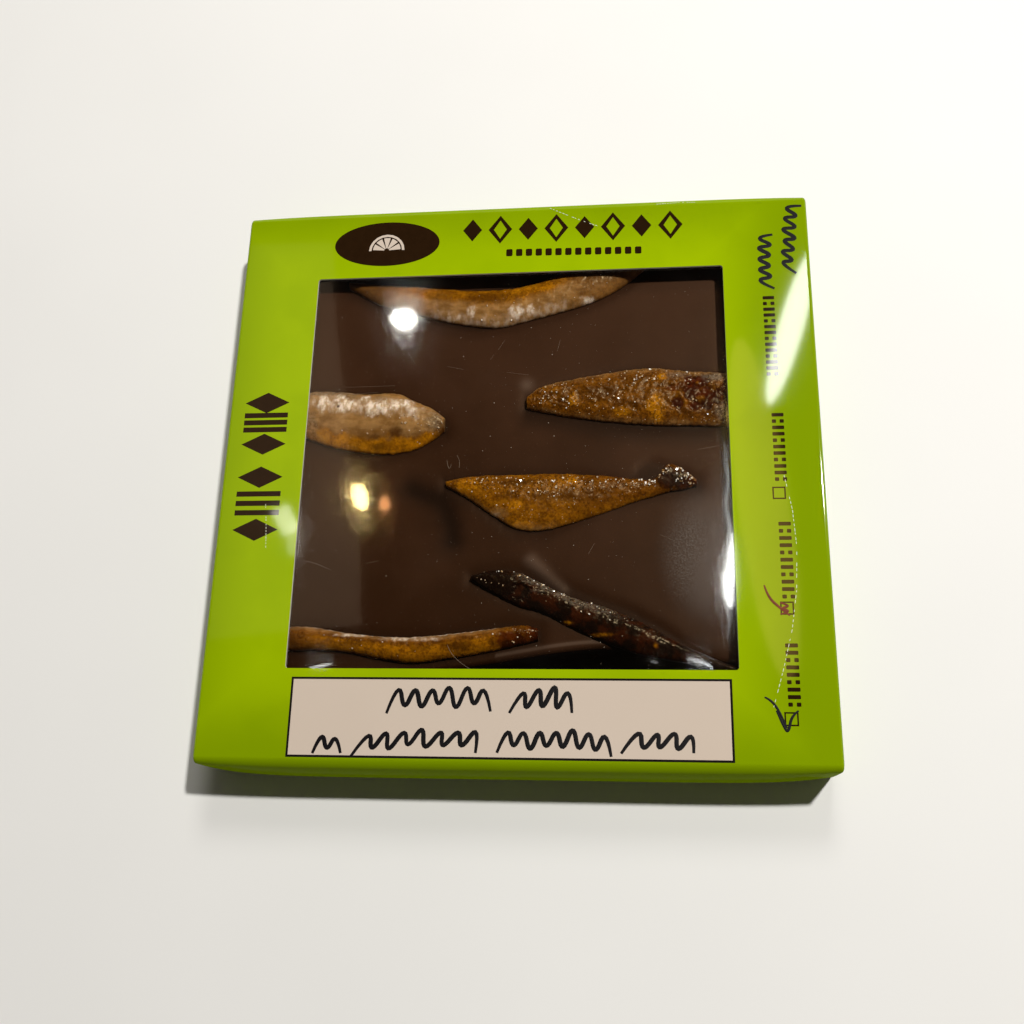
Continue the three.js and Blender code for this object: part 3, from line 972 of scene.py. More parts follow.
def film_dirt(dust, hair):
    """Dust, hairs and fine scratches on the film."""
    draw = random.Random(5)
    bm = bmesh.new()
    for _ in range(DUST_COUNT):
        x, y = (draw.uniform(*span) for span in DUST_FIELD)
        radius = mix(*DUST_RADII, draw.random() ** 4)
        turn = any_turn(draw)
        flat = Matrix.Diagonal((1, draw.uniform(0.5, 1), 0.6, 1))
        height = FILM_TOP / MM + film_rise(x, y) + radius * 0.5
        place = Matrix.Translation((x, y, height))
        bmesh.ops.create_icosphere(bm, subdivisions=1, radius=radius, matrix=place @ flat @ turn)
    piece_from("film_dust", bm, dust)
    fibres = [[(x, y, film_rise(x, y)) for x, y in path] for path in HAIRS]
    strokes("film_hairs", fibres, HAIR_WIDTH, HAIR_WIDTH, hair, FILM_TOP + HAIR_WIDTH / 3 * MM)
    marks = [[(x, y, film_rise(x, y)) for x, y in row(first, last, 3)] for first, last in SCRATCHES]
    strokes("film_scratches", marks, SCRATCH_WIDTH, SCRATCH_WIDTH, hair, FILM_TOP)


# Strips of peel. Millimetres, until a piece is finished.

MASKS = ("glow", "tan", "deep", "pith", "frost", "dark", "sugar")
BAND_SOFTNESS = 0.2
BAND_RUN_OUT = 0.06

# Layers of hills for the ragged edges, the crags of the top and how the outlines of bands and spots wander
RAGS_NEAR = [(1.0, 1.1, 0), (0.5, 0.4, 0)]
RAGS_FAR = [(1.0, 1.3, 0), (0.5, 0.45, 0)]
CRAGS = [(1.0, 1.5, 0), (0.6, 0.7, 0), (0.4, 0.35, 0)]
BAND_WANDER = [(0.16, 1.6, 2), (0.08, 0.5, 2)]
SPOT_WANDER = [(0.28, 0.8, 4), (0.14, 0.35, 4)]


class Spot(NamedTuple):
    """A patch of one mask on a strip, which can stand out from its top."""

    mask: str
    x: float
    y: float
    reach_x: float
    reach_y: float
    amount: float
    lift: float


@dataclass
class Strip:
    """A strip of peel: its outline, its domed and craggy top, and masks for its colours."""

    crown: float
    ridge: float
    relief: float
    crags: float
    ragged: float
    stations: list
    bands: list
    spots: list
    grains: list

    def __post_init__(self):
        self.bands = [(mask, *band) for mask, *bands in self.bands for band in bands]
        self.spots = [Spot(mask, *spot) for mask, *spots in self.spots for spot in spots]
        # The place of the first station also seeds the strip's noise
        self.start, self.seed, _ = self.stations[0]
        self.end = self.stations[-1][0]
        self.widest = max(far - near for _, near, far in self.stations)

    def station(self, along):
        """x, and y of the near and far edges, on a smooth curve through the stations."""
        last = len(self.stations) - 1
        place = min(along, 1) * last
        index = min(int(place), last - 1)
        share = place - index
        inner = [Vector(self.stations[at]) for at in (index, index + 1)]
        before = Vector(self.stations[index - 1]) if index else 2 * inner[0] - inner[1]
        after = Vector(self.stations[index + 2]) if index + 2 <= last else 2 * inner[1] - inner[0]
        rise = (inner[1] - before) / 2
        fall = (after - inner[0]) / 2
        gap = inner[1] - inner[0]
        bend = (3 * gap - 2 * rise - fall) * share ** 2
        return inner[0] + rise * share + bend + (rise + fall - 2 * gap) * share ** 3

    def surface(self, along, across):
        """A place on the top. across runs from -1, near, to 1, far."""
        x, near, far = self.station(along)
        near += self.ragged * hills(x, self.seed, RAGS_NEAR)
        far += self.ragged * hills(x, self.seed + 9, RAGS_FAR)
        middle = (near + far) / 2
        y = middle + (far - near) / 2 * across
        foot = -1 if across < self.ridge else 1
        climb = (across - foot) / (self.ridge - foot)
        rise = math.sin(math.pi / 2 * max(0, climb)) ** CROWN_FULLNESS
        slimness = min(1, max(0.05, far - near) / self.widest) ** CROWN_SLIMMING
        return x, y, SLAB_TOP + self.crown * slimness * rise + rise * self.roughness(x, y)

    def roughness(self, x, y):
        """Wrinkles, crags and knobs of the top."""
        waves = math.sin(2.3 * x + 1.1 * y) * math.sin(1.7 * y - 0.6 * x) + 0.6 * math.sin(4.1 * x - 2.9 * y)
        crag = hills(x, y, CRAGS, self.seed)
        lift = sum(self.spot_share(spot, x, y) * spot.lift for spot in self.spots if spot.lift)
        return self.relief * waves * 0.2 + self.crags * crag + lift

    def spot_share(self, spot, x, y):
        """How much of a spot lies at a place. Its outline is broken up by noise."""
        gap = math.hypot((x - spot.x) / spot.reach_x, (y - spot.y) / spot.reach_y)
        if gap > 2:
            return 0
        gap += hills(x, y, SPOT_WANDER, self.seed)
        return smooth(gap, 1.15, 0.75) if spot.mask == "dark" else smooth(gap, 1.4, 0.25)

    def masks(self, along, across, x, y):
        """The share of each colour at a place on the top."""
        shares = dict.fromkeys(MASKS, 0.0)
        edge = hills(x, y, BAND_WANDER, self.seed)
        for mask, low, high, start, end, amount in self.bands:
            share = amount * between(across + edge, low, high, BAND_SOFTNESS)
            share *= between(along + edge * 0.2, start, end, BAND_RUN_OUT)
            shares[mask] = max(shares[mask], share)
        for spot in self.spots:
            share = self.spot_share(spot, x, y)
            shares[spot.mask] = max(shares[spot.mask], spot.amount * share)
            if spot.mask == "glow":
                shares["dark"] *= 1 - share
        return shares

    def table(self, steps=160):
        """The outline as even steps along X, for looking up how near a place is to the strip."""
        return [tuple(self.station(step / steps)) for step in range(steps + 1)]


# Stations are (x, y of the near edge, y of the far edge).
# Bands are, for each mask, (across from, to, along from, to, amount).
# Spots are, for each mask in turn, (x, y, reach x, reach y, amount, lift).
# Grains are (count, across from, to, along from, to).
STRIPS = {
    "peel_top": Strip(
        crown=2.2, ridge=0.1, relief=0.08, crags=0.08, ragged=0.1,
        stations=[
            (-37.5, 42.6, 44.2), (-30, 38.2, 43.3), (-22, 35.7, 42.4), (-14, 33.5, 41.5), (-5, 32.2, 41.1),
            (3, 33.9, 42.3), (9, 35.5, 45), (15, 37.4, 47.4), (21, 40.5, 49), (27, 45.4, 49.6),
        ],
        bands=[
            ("tan", (-1.2, 0.1, 0.1, 0.75, 0.85), (-1.2, 1.2, 0.68, 1.1, 0.45), (-1.2, 1.2, -0.1, 0.2, 0.4)),
            ("pith", (-1.2, -0.5, 0.25, 0.72, 0.3)),
            ("glow", (-0.2, 0.95, 0.15, 0.68, 0.55)),
            ("deep", (-1.2, 1.2, -0.1, 0.15, 0.5)),
        ],
        spots=[
            ("pith", (-10.2, 35.3, 1.2, 1.6, 0.62, 0.2), (-0.6, 35, 2, 1.7, 0.6, 0.2),
             (14.6, 37.5, 2.1, 1.2, 0.6, 0.1), (-13.9, 34.2, 3.5, 1.2, 0.4, 0),
             (2.2, 35.3, 1.2, 1.4, 0.55, 0.1)),
            ("deep", (-7, 38.5, 7, 1.8, 0.8, 0), (-15.8, 39.1, 3.5, 1.8, 0.55, 0),
             (17.2, 42.7, 5.6, 1.2, 0.6, 0)),
        ],
        grains=[(14, -0.9, 0.6, 0.2, 1)],
    ),
    "peel_left": Strip(
        crown=2.8, ridge=0.35, relief=0.12, crags=0.09, ragged=0.14,
        stations=[
            (-48.5, 9.8, 16), (-44, 7.6, 18.2), (-38, 5.5, 18.1), (-32, 4.4, 17.4), (-26, 4, 17.5),
            (-21, 4.9, 15.3), (-17.5, 6.9, 13.6), (-15.2, 8.7, 11.6),
        ],
        bands=[
            ("tan", (-0.5, 1.2, -0.1, 1.1, 1), (-1.2, -0.5, -0.1, 0.25, 0.5)),
            ("glow", (-1.2, -0.5, 0.05, 0.96, 0.9)),
            ("deep", (-0.8, -0.2, 0.36, 0.8, 0.3)),
            ("pith", (0.1, 0.75, -0.1, 0.78, 0.4)),
            ("frost", (0.72, 1.2, -0.1, 0.4, 0.5)),
        ],
        spots=[
            ("pith", (-40.4, 14.8, 1.6, 2.2, 1, 0.25), (-35.9, 13.8, 2.8, 1.7, 1, 0.3),
             (-37.1, 15.6, 1.2, 1.4, 0.9, 0.2), (-31.6, 15.6, 1.5, 1, 0.7, 0.1),
             (-30, 13.1, 2.2, 1.8, 1, 0.35), (-27.4, 13.6, 1.2, 1.9, 1, 0.3),
             (-25.4, 13.2, 1.1, 1, 0.95, 0.2), (-23.6, 14.2, 2.6, 1.4, 0.8, 0.15),
             (-20.9, 12.7, 1.8, 0.9, 0.6, 0.1)),
            ("frost", (-40.6, 17.3, 4.1, 0.9, 0.6, 0), (-32.3, 14.4, 1, 0.7, 0.3, -0.15),
             (-28.5, 15.6, 1.6, 0.9, 0.3, 0)),
            ("dark", (-37.3, 13.8, 0.3, 0.3, 0.9, -0.25)),
            ("deep", (-25, 7.9, 1.9, 1.5, 0.9, -0.1), (-29.4, 7.1, 1.5, 0.8, 0.7, -0.12),
             (-28.3, 5.3, 2.4, 0.9, 0.7, 0)),
            ("frost", (-17.2, 10.8, 1.8, 2.4, 0.45, 0)),
            ("deep", (-16.4, 9.4, 1.2, 2.4, 0.6, 0)),
            ("frost", (-42.8, 10.1, 1.2, 2.6, 0.4, 0)),
        ],
        grains=[(26, -0.8, 0.3, 0.05, 1), (10, -0.5, 0.2, 0.5, 0.75)],
    ),
    "peel_right": Strip(
        crown=2.6, ridge=0.2, relief=0.2, crags=0.24, ragged=0.16,
        stations=[
            (1.9, 13.5, 16.1), (5, 12.6, 18.3), (11, 11.3, 19.7), (19, 10.1, 21.1), (27, 9.3, 21.8),
            (35, 9, 20.9), (42, 8.8, 20.3), (46.5, 9.8, 18.8), (48.7, 12, 16.6),
        ],
        bands=[
            ("tan", (0.8, 1.2, -0.1, 0.9, 0.7), (-1.2, -0.94, -0.1, 1.1, 0.8)),
            ("sugar", (-1.2, 1.2, -0.1, 1.1, 0.8)),
        ],
        spots=[
            ("glow", (11.4, 14.5, 1.1, 1.5, 1, 0.15), (28.3, 12.5, 2, 3.4, 1, 0.1),
             (7.5, 16.7, 1.1, 0.8, 0.6, 0.15), (21.2, 11.7, 2.4, 1.3, 0.6, 0)),
            ("deep", (17.1, 16.1, 4.5, 1.8, 0.8, -0.1), (9.6, 14.9, 1.5, 2, 0.5, 0),
             (24.2, 18.7, 3.3, 1.6, 0.4, 0), (40, 12.4, 4, 2.6, 0.7, 0)),
            ("dark", (32.4, 13.2, 1.5, 1.3, 1, -0.4), (35.9, 12.6, 1.4, 1.1, 1, -0.35),
             (38.1, 12.7, 1.5, 1.2, 1, -0.35), (35.4, 15.5, 2, 2.1, 1, -0.4),
             (36.9, 17.8, 2.1, 1.5, 1, -0.4), (35, 18.4, 1.2, 1.1, 1, -0.35), (40, 14.4, 1.9, 1.9, 1, -0.4),
             (42.4, 15.4, 1.8, 2.3, 1, -0.4), (31.6, 16.4, 1.5, 0.8, 0.8, -0.2),
             (33.6, 16.9, 1.4, 0.9, 0.8, -0.2), (38.3, 15.4, 1.6, 1.4, 1, -0.3)),
            ("glow", (34, 13.5, 0.5, 0.6, 0.3, 0.25), (37.4, 14, 0.6, 0.6, 0.3, 0.25),
             (32.9, 15.3, 0.5, 0.5, 0.3, 0.2), (36.5, 17.6, 0.4, 0.4, 0.3, 0.15),
             (39.6, 15.9, 0.6, 0.4, 0.3, 0.2), (29.6, 19.2, 1, 1.1, 0.9, 0.25)),
            ("frost", (32.4, 19.4, 2.4, 1.1, 0.5, 0.1), (40.1, 18.9, 2.4, 1.4, 0.75, 0.15),
             (41.5, 11.2, 2, 1.7, 0.65, 0.1)),
        ],
        grains=[
            (70, -0.7, 0.8, 0.1, 0.9), (40, 0.3, 0.9, 0.42, 0.72), (26, 0.5, 0.95, 0.72, 0.9),
            (26, -0.8, -0.1, 0.78, 0.92), (16, -0.4, 0.3, 0.12, 0.3),
        ],
    ),
    "peel_centre": Strip(
        crown=2.4, ridge=0.4, relief=0.16, crags=0.11, ragged=0.14,
        stations=[
            (-14.3, -3.3, -2.2), (-10, -5.8, -1.3), (-5, -9.3, -1.1), (0, -12.3, -1), (5, -12.8, -0.9),
            (11, -11.4, -1), (18, -9.1, -1.5), (24, -6.9, -2.3), (27.6, -5.9, -2.3), (30.4, -5, 0.8),
            (33.4, -4.6, -0.4), (35.8, -3.9, -2.5),
        ],
        bands=[
            ("glow", (-1.2, 1.2, -0.1, 0.5, 0.35), (-1.2, -0.7, 0.3, 0.75, 0.4)),
            ("tan", (-1.2, -0.9, -0.1, 0.4, 0.6)),
            ("sugar", (0.05, 0.95, 0.05, 1.1, 1), (-1.2, 1.2, -0.1, 1.1, 0.25)),
        ],
        spots=[
            ("glow", (-9.7, -3.4, 3.1, 1.3, 1, 0), (1.3, -11.9, 2.6, 1.2, 1, 0),
             (0.2, -7.9, 2.4, 1.4, 0.7, 0), (11.4, -3, 1.7, 0.9, 0.8, 0)),
            ("deep", (0.4, -3.2, 4.5, 0.9, 0.8, 0), (10.1, -6.2, 8.8, 1.4, 0.6, 0),
             (-1.2, -6.1, 2.8, 0.9, 0.5, 0)),
            ("tan", (-3.6, -9.4, 2.2, 1.1, 0.8, 0)),
            ("pith", (-4, -9.6, 1.6, 0.7, 0.25, 0)),
            ("deep", (30.8, -2.2, 3.6, 2.8, 1, 0)),
            ("dark", (30.1, -2.6, 2, 2.2, 0.75, 0.3), (33.1, -2.8, 2, 1.8, 0.9, 0.4),
             (35.5, -3.4, 1, 0.9, 0.9, 0.2)),
            ("frost", (31.5, -2.4, 3, 2, 0.12, 0)),
        ],
        grains=[
            (90, 0.2, 0.85, 0.1, 0.84), (60, 0.25, 0.7, 0.35, 0.84), (12, -0.7, 0.1, 0.05, 0.9),
            (44, -0.6, 0.8, 0.84, 0.99),
        ],
    ),
    "peel_dark": Strip(
        crown=2.6, ridge=0.3, relief=0.18, crags=0.13, ragged=0.16,
        stations=[
            (-8.4, -23, -21.9), (-4, -25.6, -20.9), (1, -28.1, -21.4), (6, -29.6, -23.9),
            (12, -32.8, -26.6), (19, -35.8, -28.8), (26, -37.9, -32), (33, -39.1, -36), (40, -41, -39),
            (45.5, -42.4, -41.4),
        ],
        bands=[
            ("dark", (-1.2, 1.2, -0.1, 1.1, 1)),
            ("frost", (0.5, 1.2, 0.24, 0.55, 0.5)),
            ("deep", (-1.2, 1.2, -0.1, 0.2, 1), (-1.2, 1.2, 0.8, 1.1, 0.8)),
            ("sugar", (0.5, 1, 0.18, 0.7, 0.7)),
        ],
        spots=[
            ("dark", (1.6, -25.7, 1.9, 1.6, 1, -0.7)),
            ("frost", (5.6, -25.5, 2.1, 0.4, 0.3, 0.1)),
            ("glow", (27.3, -36.1, 0.5, 0.5, 0.5, 0.15), (10.1, -31.6, 1.6, 0.4, 0.8, 0),
             (16.4, -34, 3, 0.4, 0.5, 0)),
        ],
        grains=[(12, -0.5, 0.9, 0.02, 0.2), (26, 0.6, 0.95, 0.2, 0.6), (9, -0.8, 0.4, 0.2, 0.95)],
    ),
    "peel_near": Strip(
        crown=2.6, ridge=0.3, relief=0.06, crags=0.09, ragged=0.12,
        stations=[
            (-48.5, -36.4, -33.4), (-44, -37, -32.2), (-39, -36.9, -32.4), (-33, -37.2, -33.4),
            (-25, -38.7, -34.2), (-19, -39.3, -34.2), (-12, -38.4, -33.6), (-4, -37, -32.6),
            (2, -35.6, -31.9), (4.9, -34.9, -32.6),
        ],
        bands=[
            ("glow", (-1.2, 0.2, 0.22, 0.82, 0.55)),
            ("deep", (-1.2, 1.2, -0.1, 0.14, 0.6)),
            ("tan", (0.55, 1.2, -0.1, 0.8, 0.6)),
            ("pith", (0.85, 1.2, 0.12, 0.8, 0.6)),
            ("dark", (-1.2, 1.2, 0.9, 1.1, 0.95)),
            ("sugar", (-1.2, 1.2, 0.82, 1.1, 0.5)),
        ],
        spots=[
            ("deep", (-10.5, -36.3, 3.3, 1.1, 0.9, 0), (-17.7, -36.6, 2.3, 0.9, 0.5, 0),
             (-30.4, -35.5, 2.7, 1, 0.5, 0)),
            ("pith", (-31.2, -34.2, 4, 0.5, 0.6, 0.05), (-19.8, -34.9, 7.6, 0.7, 0.5, 0.1)),
            ("dark", (-0.1, -35.1, 3.2, 1.8, 0.9, 0), (-3, -35.5, 1.6, 1, 0.5, 0)),
        ],
        grains=[(9, -0.8, 0.9, 0.84, 0.99), (6, -0.8, 0.4, 0.3, 0.85)],
    ),
}


def peel_piece(name, strip, material):
    """A strip's fine mesh: a grid laid over its top, with a skirt into the chocolate and a closed foot."""
    columns = round((strip.end - strip.start) / GRAIN_SPACING)
    bm = bmesh.new()
    layers = {mask: bm.verts.layers.float.new(mask) for mask in MASKS}
    bmesh.ops.create_grid(bm, x_segments=columns, y_segments=STRIP_ROWS, size=1)
    for vert in bm.verts:
        along = (vert.co.x + 1) / 2
        across = math.sin(math.pi / 2 * vert.co.y)
        vert.co = strip.surface(along, across)
        for mask, share in strip.masks(along, across, vert.co.x, vert.co.y).items():
            vert[layers[mask]] = share
    foot = SLAB_TOP - PEEL_SINK
    spine = strip.table(60)
    for vert in drawn_out(bm):
        place = min(spine, key=lambda station: abs(station[0] - vert.co.x))
        vert.co.y += ((place[1] + place[2]) / 2 - vert.co.y) * UNDER_INSET
        vert.co.z = foot
    close_foot(bm)
    piece_from("candied_" + name, bm, material, name, sharp=60)


GRAIN_SIZES = (0.13, 0.4)


def sugar_grains(material):
    """Loose grains of sugar stuck to the strips, half sunk in their tops."""
    draw = random.Random(23)
    bm = bmesh.new()
    for strip in STRIPS.values():
        for count, low, high, start, end in strip.grains:
            for _ in range(count):
                along = draw.uniform(start, end)
                across = draw.uniform(low, high)
                size = mix(*GRAIN_SIZES, draw.random() ** 2)
                shape = Matrix.Diagonal([size * draw.uniform(0.6, 1.1) for _ in range(3)]).to_4x4()
                turn = any_turn(draw)
                place = Matrix.Translation(Vector(strip.surface(along, across)) + Vector((0, 0, size * 0.15)))
                bmesh.ops.create_cube(bm, size=1, matrix=place @ turn @ shape)
    piece_from("sugar_grains", bm, material, sharp=20)


# Slab

# Painted sheen: a ridge, a spot and a line along the rim, painted lighter as though they catch the light
SHEEN_RIDGE = [(3.0, -18.8), (6.0, -21.8), (9.0, -24.8)]
RIDGE_REACH = 1.3
RIDGE_HEIGHT = 0.25
SHEEN_SPOT = (1.7, 18.9)
SHEEN_SPOT_REACH = math.sqrt(2)
RIM_LINE = (-3.5, 20.1)
RIM_LINE_IN = 0.5
RIM_LINE_REACH = 0.32
# A shallow dent near the centre strip's left end, darkened with painted shade
SHADED_DENT = [(-21.2, -3.8), (-18.6, -5.0), (-15.9, -6.1), (-14.0, -8.2), (-12.8, -11.8), (-12.5, -14.5)]
SHADED_DENT_REACH = 2.7
SHADED_DENT_DEPTH = 0.12

# Painted shade in the chocolate: halos around the strips, (amount, reach), and shades along their near edges,
# (strips, how far they are shifted in x and y, amount, reach). Past STRIP_REACH it doesn't spread.
HALOS = [(0.4, 0.7), (0.12, 3)]
SHADES = [(list(STRIPS), 0.4, -1.7, 0.24, 1.2), (["peel_right"], 0, -2.8, 0.4, 1.8)]
STRIP_REACH = 4

MOAT_REACH = 1.5
MOAT_DEPTH = 0.22
RIPPLES = [(0.045, 16, 2.0), (0.02, 6, 7.0)]


def near_edge(x):
    return SLAB_NEAR_Y + SCOOP_DEPTH * fading(x - SCOOP_X, SCOOP_REACH)


def gap_to_strips(x, y, tables):
    """Distance from a place to the nearest strip's outline, 0 inside it. Millimetres."""
    nearest = math.inf
    for table in tables:
        if x < table[0][0] - STRIP_REACH or x > table[-1][0] + STRIP_REACH:
            continue
        place = (x - table[0][0]) / (table[-1][0] - table[0][0])
        _, near, far = table[min(len(table) - 1, max(0, round(place * (len(table) - 1))))]
        aside = max(table[0][0] - x, x - table[-1][0], 0)
        nearest = min(nearest, math.hypot(aside, max(near - y, y - far, 0)))
    return nearest


def gap_to_line(x, y, points):
    place = Vector((x, y))
    gaps = []
    for first, last in zip(points, points[1:]):
        first, last = Vector(first), Vector(last)
        span = last - first
        share = min(1, max(0, (place - first).dot(span) / span.length_squared))
        gaps.append((place - first - span * share).length)
    return min(gaps)


def slab_place(across, along):
    """x, y and the near edge's y for a place on the top inside the rim. Both shares run from -1 to 1."""
    half = slab_high.x / MM - RIM
    near = near_edge(across * half) + RIM
    return across * (half + SLAB_SPREAD), mix(near, slab_high.y / MM - RIM, (along + 1) / 2), near


def lay_slab_top(bm):
    """Ripples, a moat around the strips, and masks for painted shade and painted sheen."""
    tables = {name: strip.table() for name, strip in STRIPS.items()}
    stain = bm.verts.layers.float.new("stain")
    bloom = bm.verts.layers.float.new("bloom")
    bmesh.ops.create_grid(bm, x_segments=SLAB_STEPS, y_segments=SLAB_STEPS, size=1)
    for vert in bm.verts:
        x, y, near = slab_place(*vert.co.xy)
        gap = gap_to_strips(x, y, tables.values())
        shade = 0
        for names, shift_x, shift_y, amount, reach in SHADES:
            shade += amount * fading(gap_to_strips(x - shift_x, y - shift_y, map(tables.get, names)), reach)
        ridge = fading(gap_to_line(x, y, SHEEN_RIDGE), RIDGE_REACH)
        spot = fading(math.dist((x, y), SHEEN_SPOT), SHEEN_SPOT_REACH)
        rim_line = fading(y - near - RIM_LINE_IN, RIM_LINE_REACH) * (RIM_LINE[0] < x < RIM_LINE[1])
        shaded_dent = fading(gap_to_line(x, y, SHADED_DENT), SHADED_DENT_REACH)
        rise = hills(x, y, RIPPLES) + RIDGE_HEIGHT * ridge
        sink = MOAT_DEPTH * fading(gap, MOAT_REACH) + SHADED_DENT_DEPTH * shaded_dent
        vert.co = (x, y, SLAB_TOP + rise - sink)
        # Painted shade: halos around the strips, shades at their near edges, and the dent
        halo = sum(amount * fading(gap, reach) for amount, reach in HALOS)
        vert[stain] = min(1, halo + shade + shaded_dent)
        # Painted sheen on the ridge, the spot and the line along the rim
        vert[bloom] = min(1, 0.5 * ridge + 0.6 * (spot + rim_line))


def draw_slab_rim(bm):
    """A rim drawn out from the top's edge in a quarter round."""
    home = bm.verts.layers.float_vector.new("home")
    out = bm.verts.layers.float_vector.new("out")
    for vert in {vert for edge in open_edges(bm) for vert in edge.verts}:
        vert[home] = vert.co
        vert[out] = rim_direction(vert)
    for step in range(1, RIM_STEPS + 1):
        turn = math.pi / 2 * step / RIM_STEPS
        for vert in drawn_out(bm):
            level = vert[home] + vert[out] * RIM * math.sin(turn)
            vert.co = (level.x, level.y, level.z - RIM * (1 - math.cos(turn)))
    for layer in ("home", "out"):
        bm.verts.layers.float_vector.remove(bm.verts.layers.float_vector[layer])


def chocolate_slab(material):
    """The slab: a fine grid over its top, a rounded rim drawn out from it, and a closed foot."""
    bm = bmesh.new()
    lay_slab_top(bm)
    draw_slab_rim(bm)
    for vert in drawn_out(bm):
        vert.co.z = slab_low.z / MM
    close_foot(bm)
    piece_from("dark_chocolate_slab", bm, material, "chocolate_slab", 50)


def rim_direction(vert):
    """The level direction out of the slab at a vertex of its outline."""
    inner = [face.calc_center_median() for face in vert.link_faces]
    middle = sum(inner, Vector()) / len(inner)
    sides = [edge.other_vert(vert).co for edge in vert.link_edges if edge.is_boundary]
    along = (sides[1] - sides[0]).normalized()
    out = Vector((along.y, -along.x, 0)).normalized()
    return out if out.dot(vert.co - middle) > 0 else -out


# Camera, light and floor

CAMERA_PLACE = Vector((22.87, -75.0, 214.07)) * MM
CAMERA_TURNS = [(19.649, "Z"), (18.924, "X"), (-19.305, "Z")]
CAMERA_LENS = 38.095
CAMERA_SENSOR = 36


def camera():
    data = bpy.data.cameras.new("camera")
    data.lens = CAMERA_LENS
    data.sensor_width = CAMERA_SENSOR
    data.clip_start = 10 * MM
    holder = put_in_scene("camera", data)
    holder.matrix_world = Matrix.Translation(CAMERA_PLACE)
    for degrees, axis in CAMERA_TURNS:
        holder.matrix_world = holder.matrix_world @ Matrix.Rotation(math.radians(degrees), 4, axis)
    bpy.context.scene.camera = holder
    bpy.context.scene.view_settings.view_transform = "Standard"


# Watts that an area light of one square metre needs for a radiance of one
WATTS = 4
SKY_LOW = (0.95, 0.92, 0.86)
SKY_NEAR = (0.3, 0.28, 0.26)
SKY_TOP = (0.012, 0.008, 0.005)
KEY_DISTANCE = 1.0
KEY_COLOUR = (1, 0.985, 0.95)
LAMP_DISTANCE = 0.6
FLOOR_SIZE = 6.0
FLOOR_GREY = ((0.74, 0.73, 0.71), (0.78, 0.77, 0.75))

# Round lamps for light and shade: direction, width, light on a level face, and whether it is mirrored
ROUND_LAMPS = {
    "key": (Vector((0.41, 0.35, 1)).normalized(), 0.06, 0.71 * math.pi, True),
    "fill": (Vector((0.1, 0.95, 1)).normalized(), 0.3, 0.16 * math.pi, False),
}

# Heights at which the film and the card mirror a lamp (mm)
FILM_LAMPS = 12.36
CARD_LAMPS = 13

# Lamps seen as reflections: the place of the reflection (mm), its width and depth there (mm), how far it is
# turned (degrees), the shape, colour and radiance.
REFLECTIONS = {
    "white_lamp": ((-23.9, 33.4, FILM_LAMPS), (6.0, 4.8), 0, "ELLIPSE", (1, 0.96, 0.88), 26),
    "warm_lamp": ((-31.7, -6.4, FILM_LAMPS), (3.1, 5.2), 18, "ELLIPSE", (1, 0.72, 0.28), 42),
    "warm_ghost": ((-26.3, -7.9, FILM_LAMPS), (2.3, 2.7), 20, "ELLIPSE", (1, 0.42, 0.15), 11),
    "left_glow": ((-44.0, -15.0, FILM_LAMPS), (2.6, 7.0), 0, "ELLIPSE", (1, 0.95, 0.85), 4),
    "right_strip": ((41.6, -21.5, FILM_LAMPS), (1.4, 14.0), 0, "ELLIPSE", (1, 1, 0.97), 22),
    "right_line": ((41.0, -16.0, FILM_LAMPS), (0.8, 38.0), 0, "ELLIPSE", (1, 1, 0.97), 4),
    "edge_glint": ((-36.5, -40.6, FILM_LAMPS), (3.2, 0.5), 0, "ELLIPSE", (1, 1, 0.95), 13),
    "rim_glint": ((35.9, -39.6, FILM_LAMPS), (3.8, 0.4), -22, "ELLIPSE", (1, 1, 0.97), 15),
    "rim_spark": ((26.9, -39.6, FILM_LAMPS), (1.0, 0.4), 0, "ELLIPSE", (1, 1, 0.97), 9),
    "blade": ((55.2, 28.0, CARD_LAMPS), (5.0, 31.0), -17, "ELLIPSE", (1, 1, 0.95), 22),
    "card_patch": ((-45.9, -11.3, CARD_LAMPS), (3.6, 5.6), 30, "RECTANGLE", (1, 0.97, 0.85), 10),
    "card_veil": ((48.2, -10.0, CARD_LAMPS), (9.6, 66.0), 5, "ELLIPSE", (1, 0.66, 0.16), 2.4),
    "ceiling_panel": ((-52.0, 6.0, FILM_LAMPS), (34.0, 80.0), 10, "RECTANGLE", (1, 0.72, 0.48), 0.29),
}


def area_light(name, place, facing, upward, size, shape, colour, radiance, diffuse, glossy):
    """An area light at a place that shines along facing, with upward as the direction of its depth."""
    data = bpy.data.lights.new(name, "AREA")
    data.shape = shape
    data.size, data.size_y = size
    area = size[0] * size[1] * (math.pi / 4 if shape in ("ELLIPSE", "DISK") else 1)
    data.energy = radiance * area * WATTS
    data.color = colour
    holder = put_in_scene(name, data)
    back = -facing.normalized()
    side = upward.cross(back).normalized()
    up = back.cross(side)
    turn = Matrix((side, up, back)).transposed().to_4x4()
    holder.matrix_world = Matrix.Translation(place) @ turn
    holder.visible_camera = False
    holder.visible_diffuse = diffuse
    holder.visible_glossy = glossy


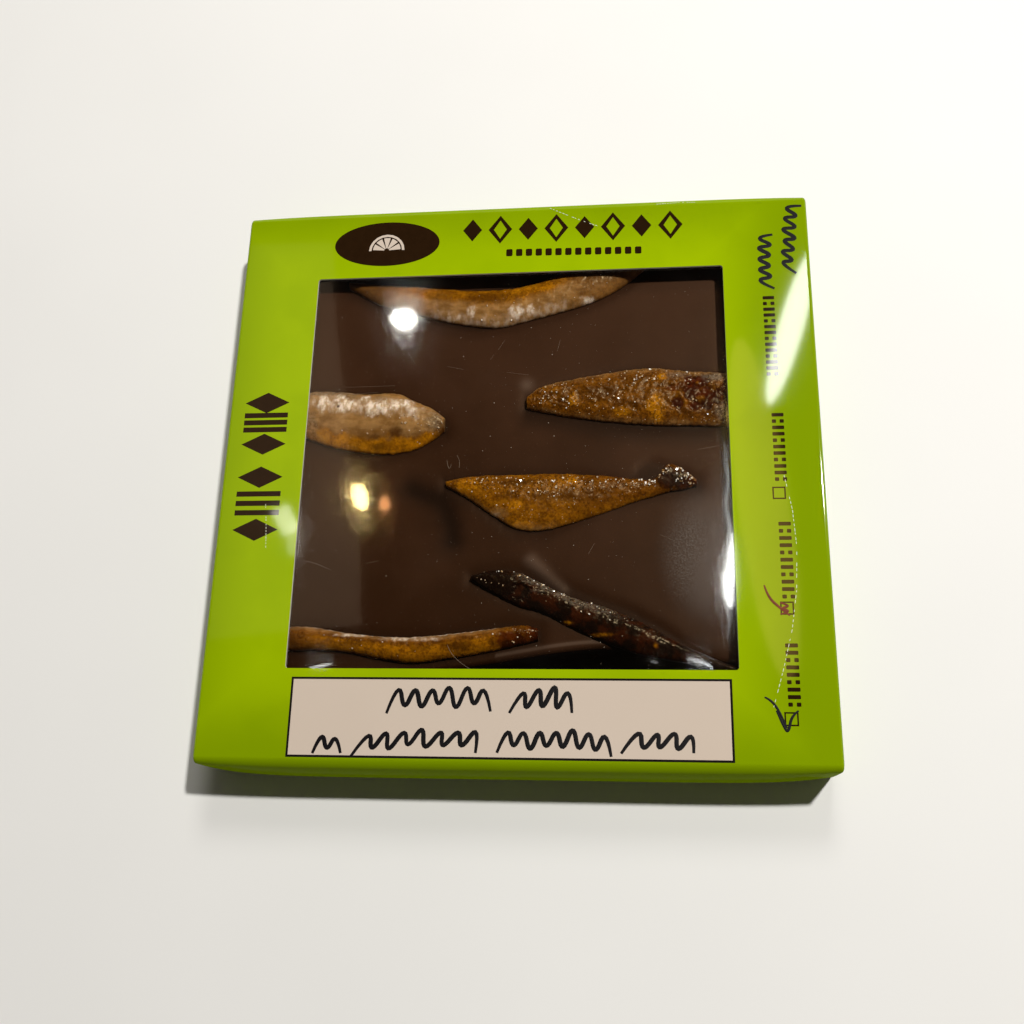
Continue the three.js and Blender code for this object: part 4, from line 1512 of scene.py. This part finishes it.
def lights():
    """A key and a softer fill for the light and shade, and small lamps that only show as reflections."""
    for name, (direction, width, light, glossy) in ROUND_LAMPS.items():
        radiance = light / (math.pi / 4 * width ** 2) * KEY_DISTANCE ** 2 / direction.z
        area_light(
            name, direction * KEY_DISTANCE, -direction, Vector((1, 0, 0)), (width, width), "DISK",
            KEY_COLOUR, radiance, True, glossy,
        )
    for name, (place, size, turn, shape, colour, radiance) in REFLECTIONS.items():
        place = Vector(place) * MM
        sight = place - CAMERA_PLACE
        mirrored = Vector((sight.x, sight.y, -sight.z)).normalized()
        growth = (sight.length + LAMP_DISTANCE) / sight.length
        lamp_size = (size[0] * MM * growth, size[1] * MM * growth)
        upward = Matrix.Rotation(math.radians(turn), 3, "Z") @ Vector((0, 1, 0))
        area_light(
            name, place + mirrored * LAMP_DISTANCE, -mirrored, upward, lamp_size, shape, colour, radiance,
            False, True,
        )


def sky():
    """A pale surround, darker overhead and on the near side, so that little of it is mirrored in the film."""
    world = bpy.data.worlds.new("surround")
    bpy.context.scene.world = world
    nodes = Nodes(world, "ShaderNodeOutputWorld")
    direction = nodes.add("TexCoord", output="Generated")
    low = nodes.blend(nodes.axis(direction, 1).eased(-0.5, 0.1), SKY_NEAR, SKY_LOW)
    tone = nodes.blend(nodes.axis(direction, 2).eased(0.1, 0.5), low, SKY_TOP)
    nodes.end(nodes.add("Background", None, {"Color": tone, "Strength": 1.0}))


def floor():
    bm = bmesh.new()
    bmesh.ops.create_grid(bm, x_segments=1, y_segments=1, size=FLOOR_SIZE / 2)
    plane = object_from("floor", bm, [mottled("floor", *FLOOR_GREY, 0.7, 50 * MM, 2)])


camera()
lights()
sky()
floor()

board = lime_board()
cream = cream_panel()
brown = printed_ink("brown_print", INK_BROWN)
carton_shell(board, board_core(), shaded_board_inside())
writing_panel(cream, printed_ink("black_print", INK_BLACK))
badge(brown, cream)
printed_marks(brown)
pen_and_wear(pen_ink("black_pen", PEN_BLACK), pen_ink("red_pen", PEN_RED), plain("scuff", SCUFF_PALE, 0.6))
window_film(clear_film())
film_dirt(plain("dust", DUST_TAN, 0.9), plain("hair", HAIR_BROWN, 0.6))
chocolate_slab(dark_chocolate())
peel = candied("candied_peel", SYRUP, 0.1)
dark_peel = candied("candied_peel_dark", SYRUP_DARK, 1)
for name, strip in STRIPS.items():
    if name == "peel_dark":
        peel_piece(name, strip, dark_peel)
    else:
        peel_piece(name, strip, peel)
sugar_grains(sugar())
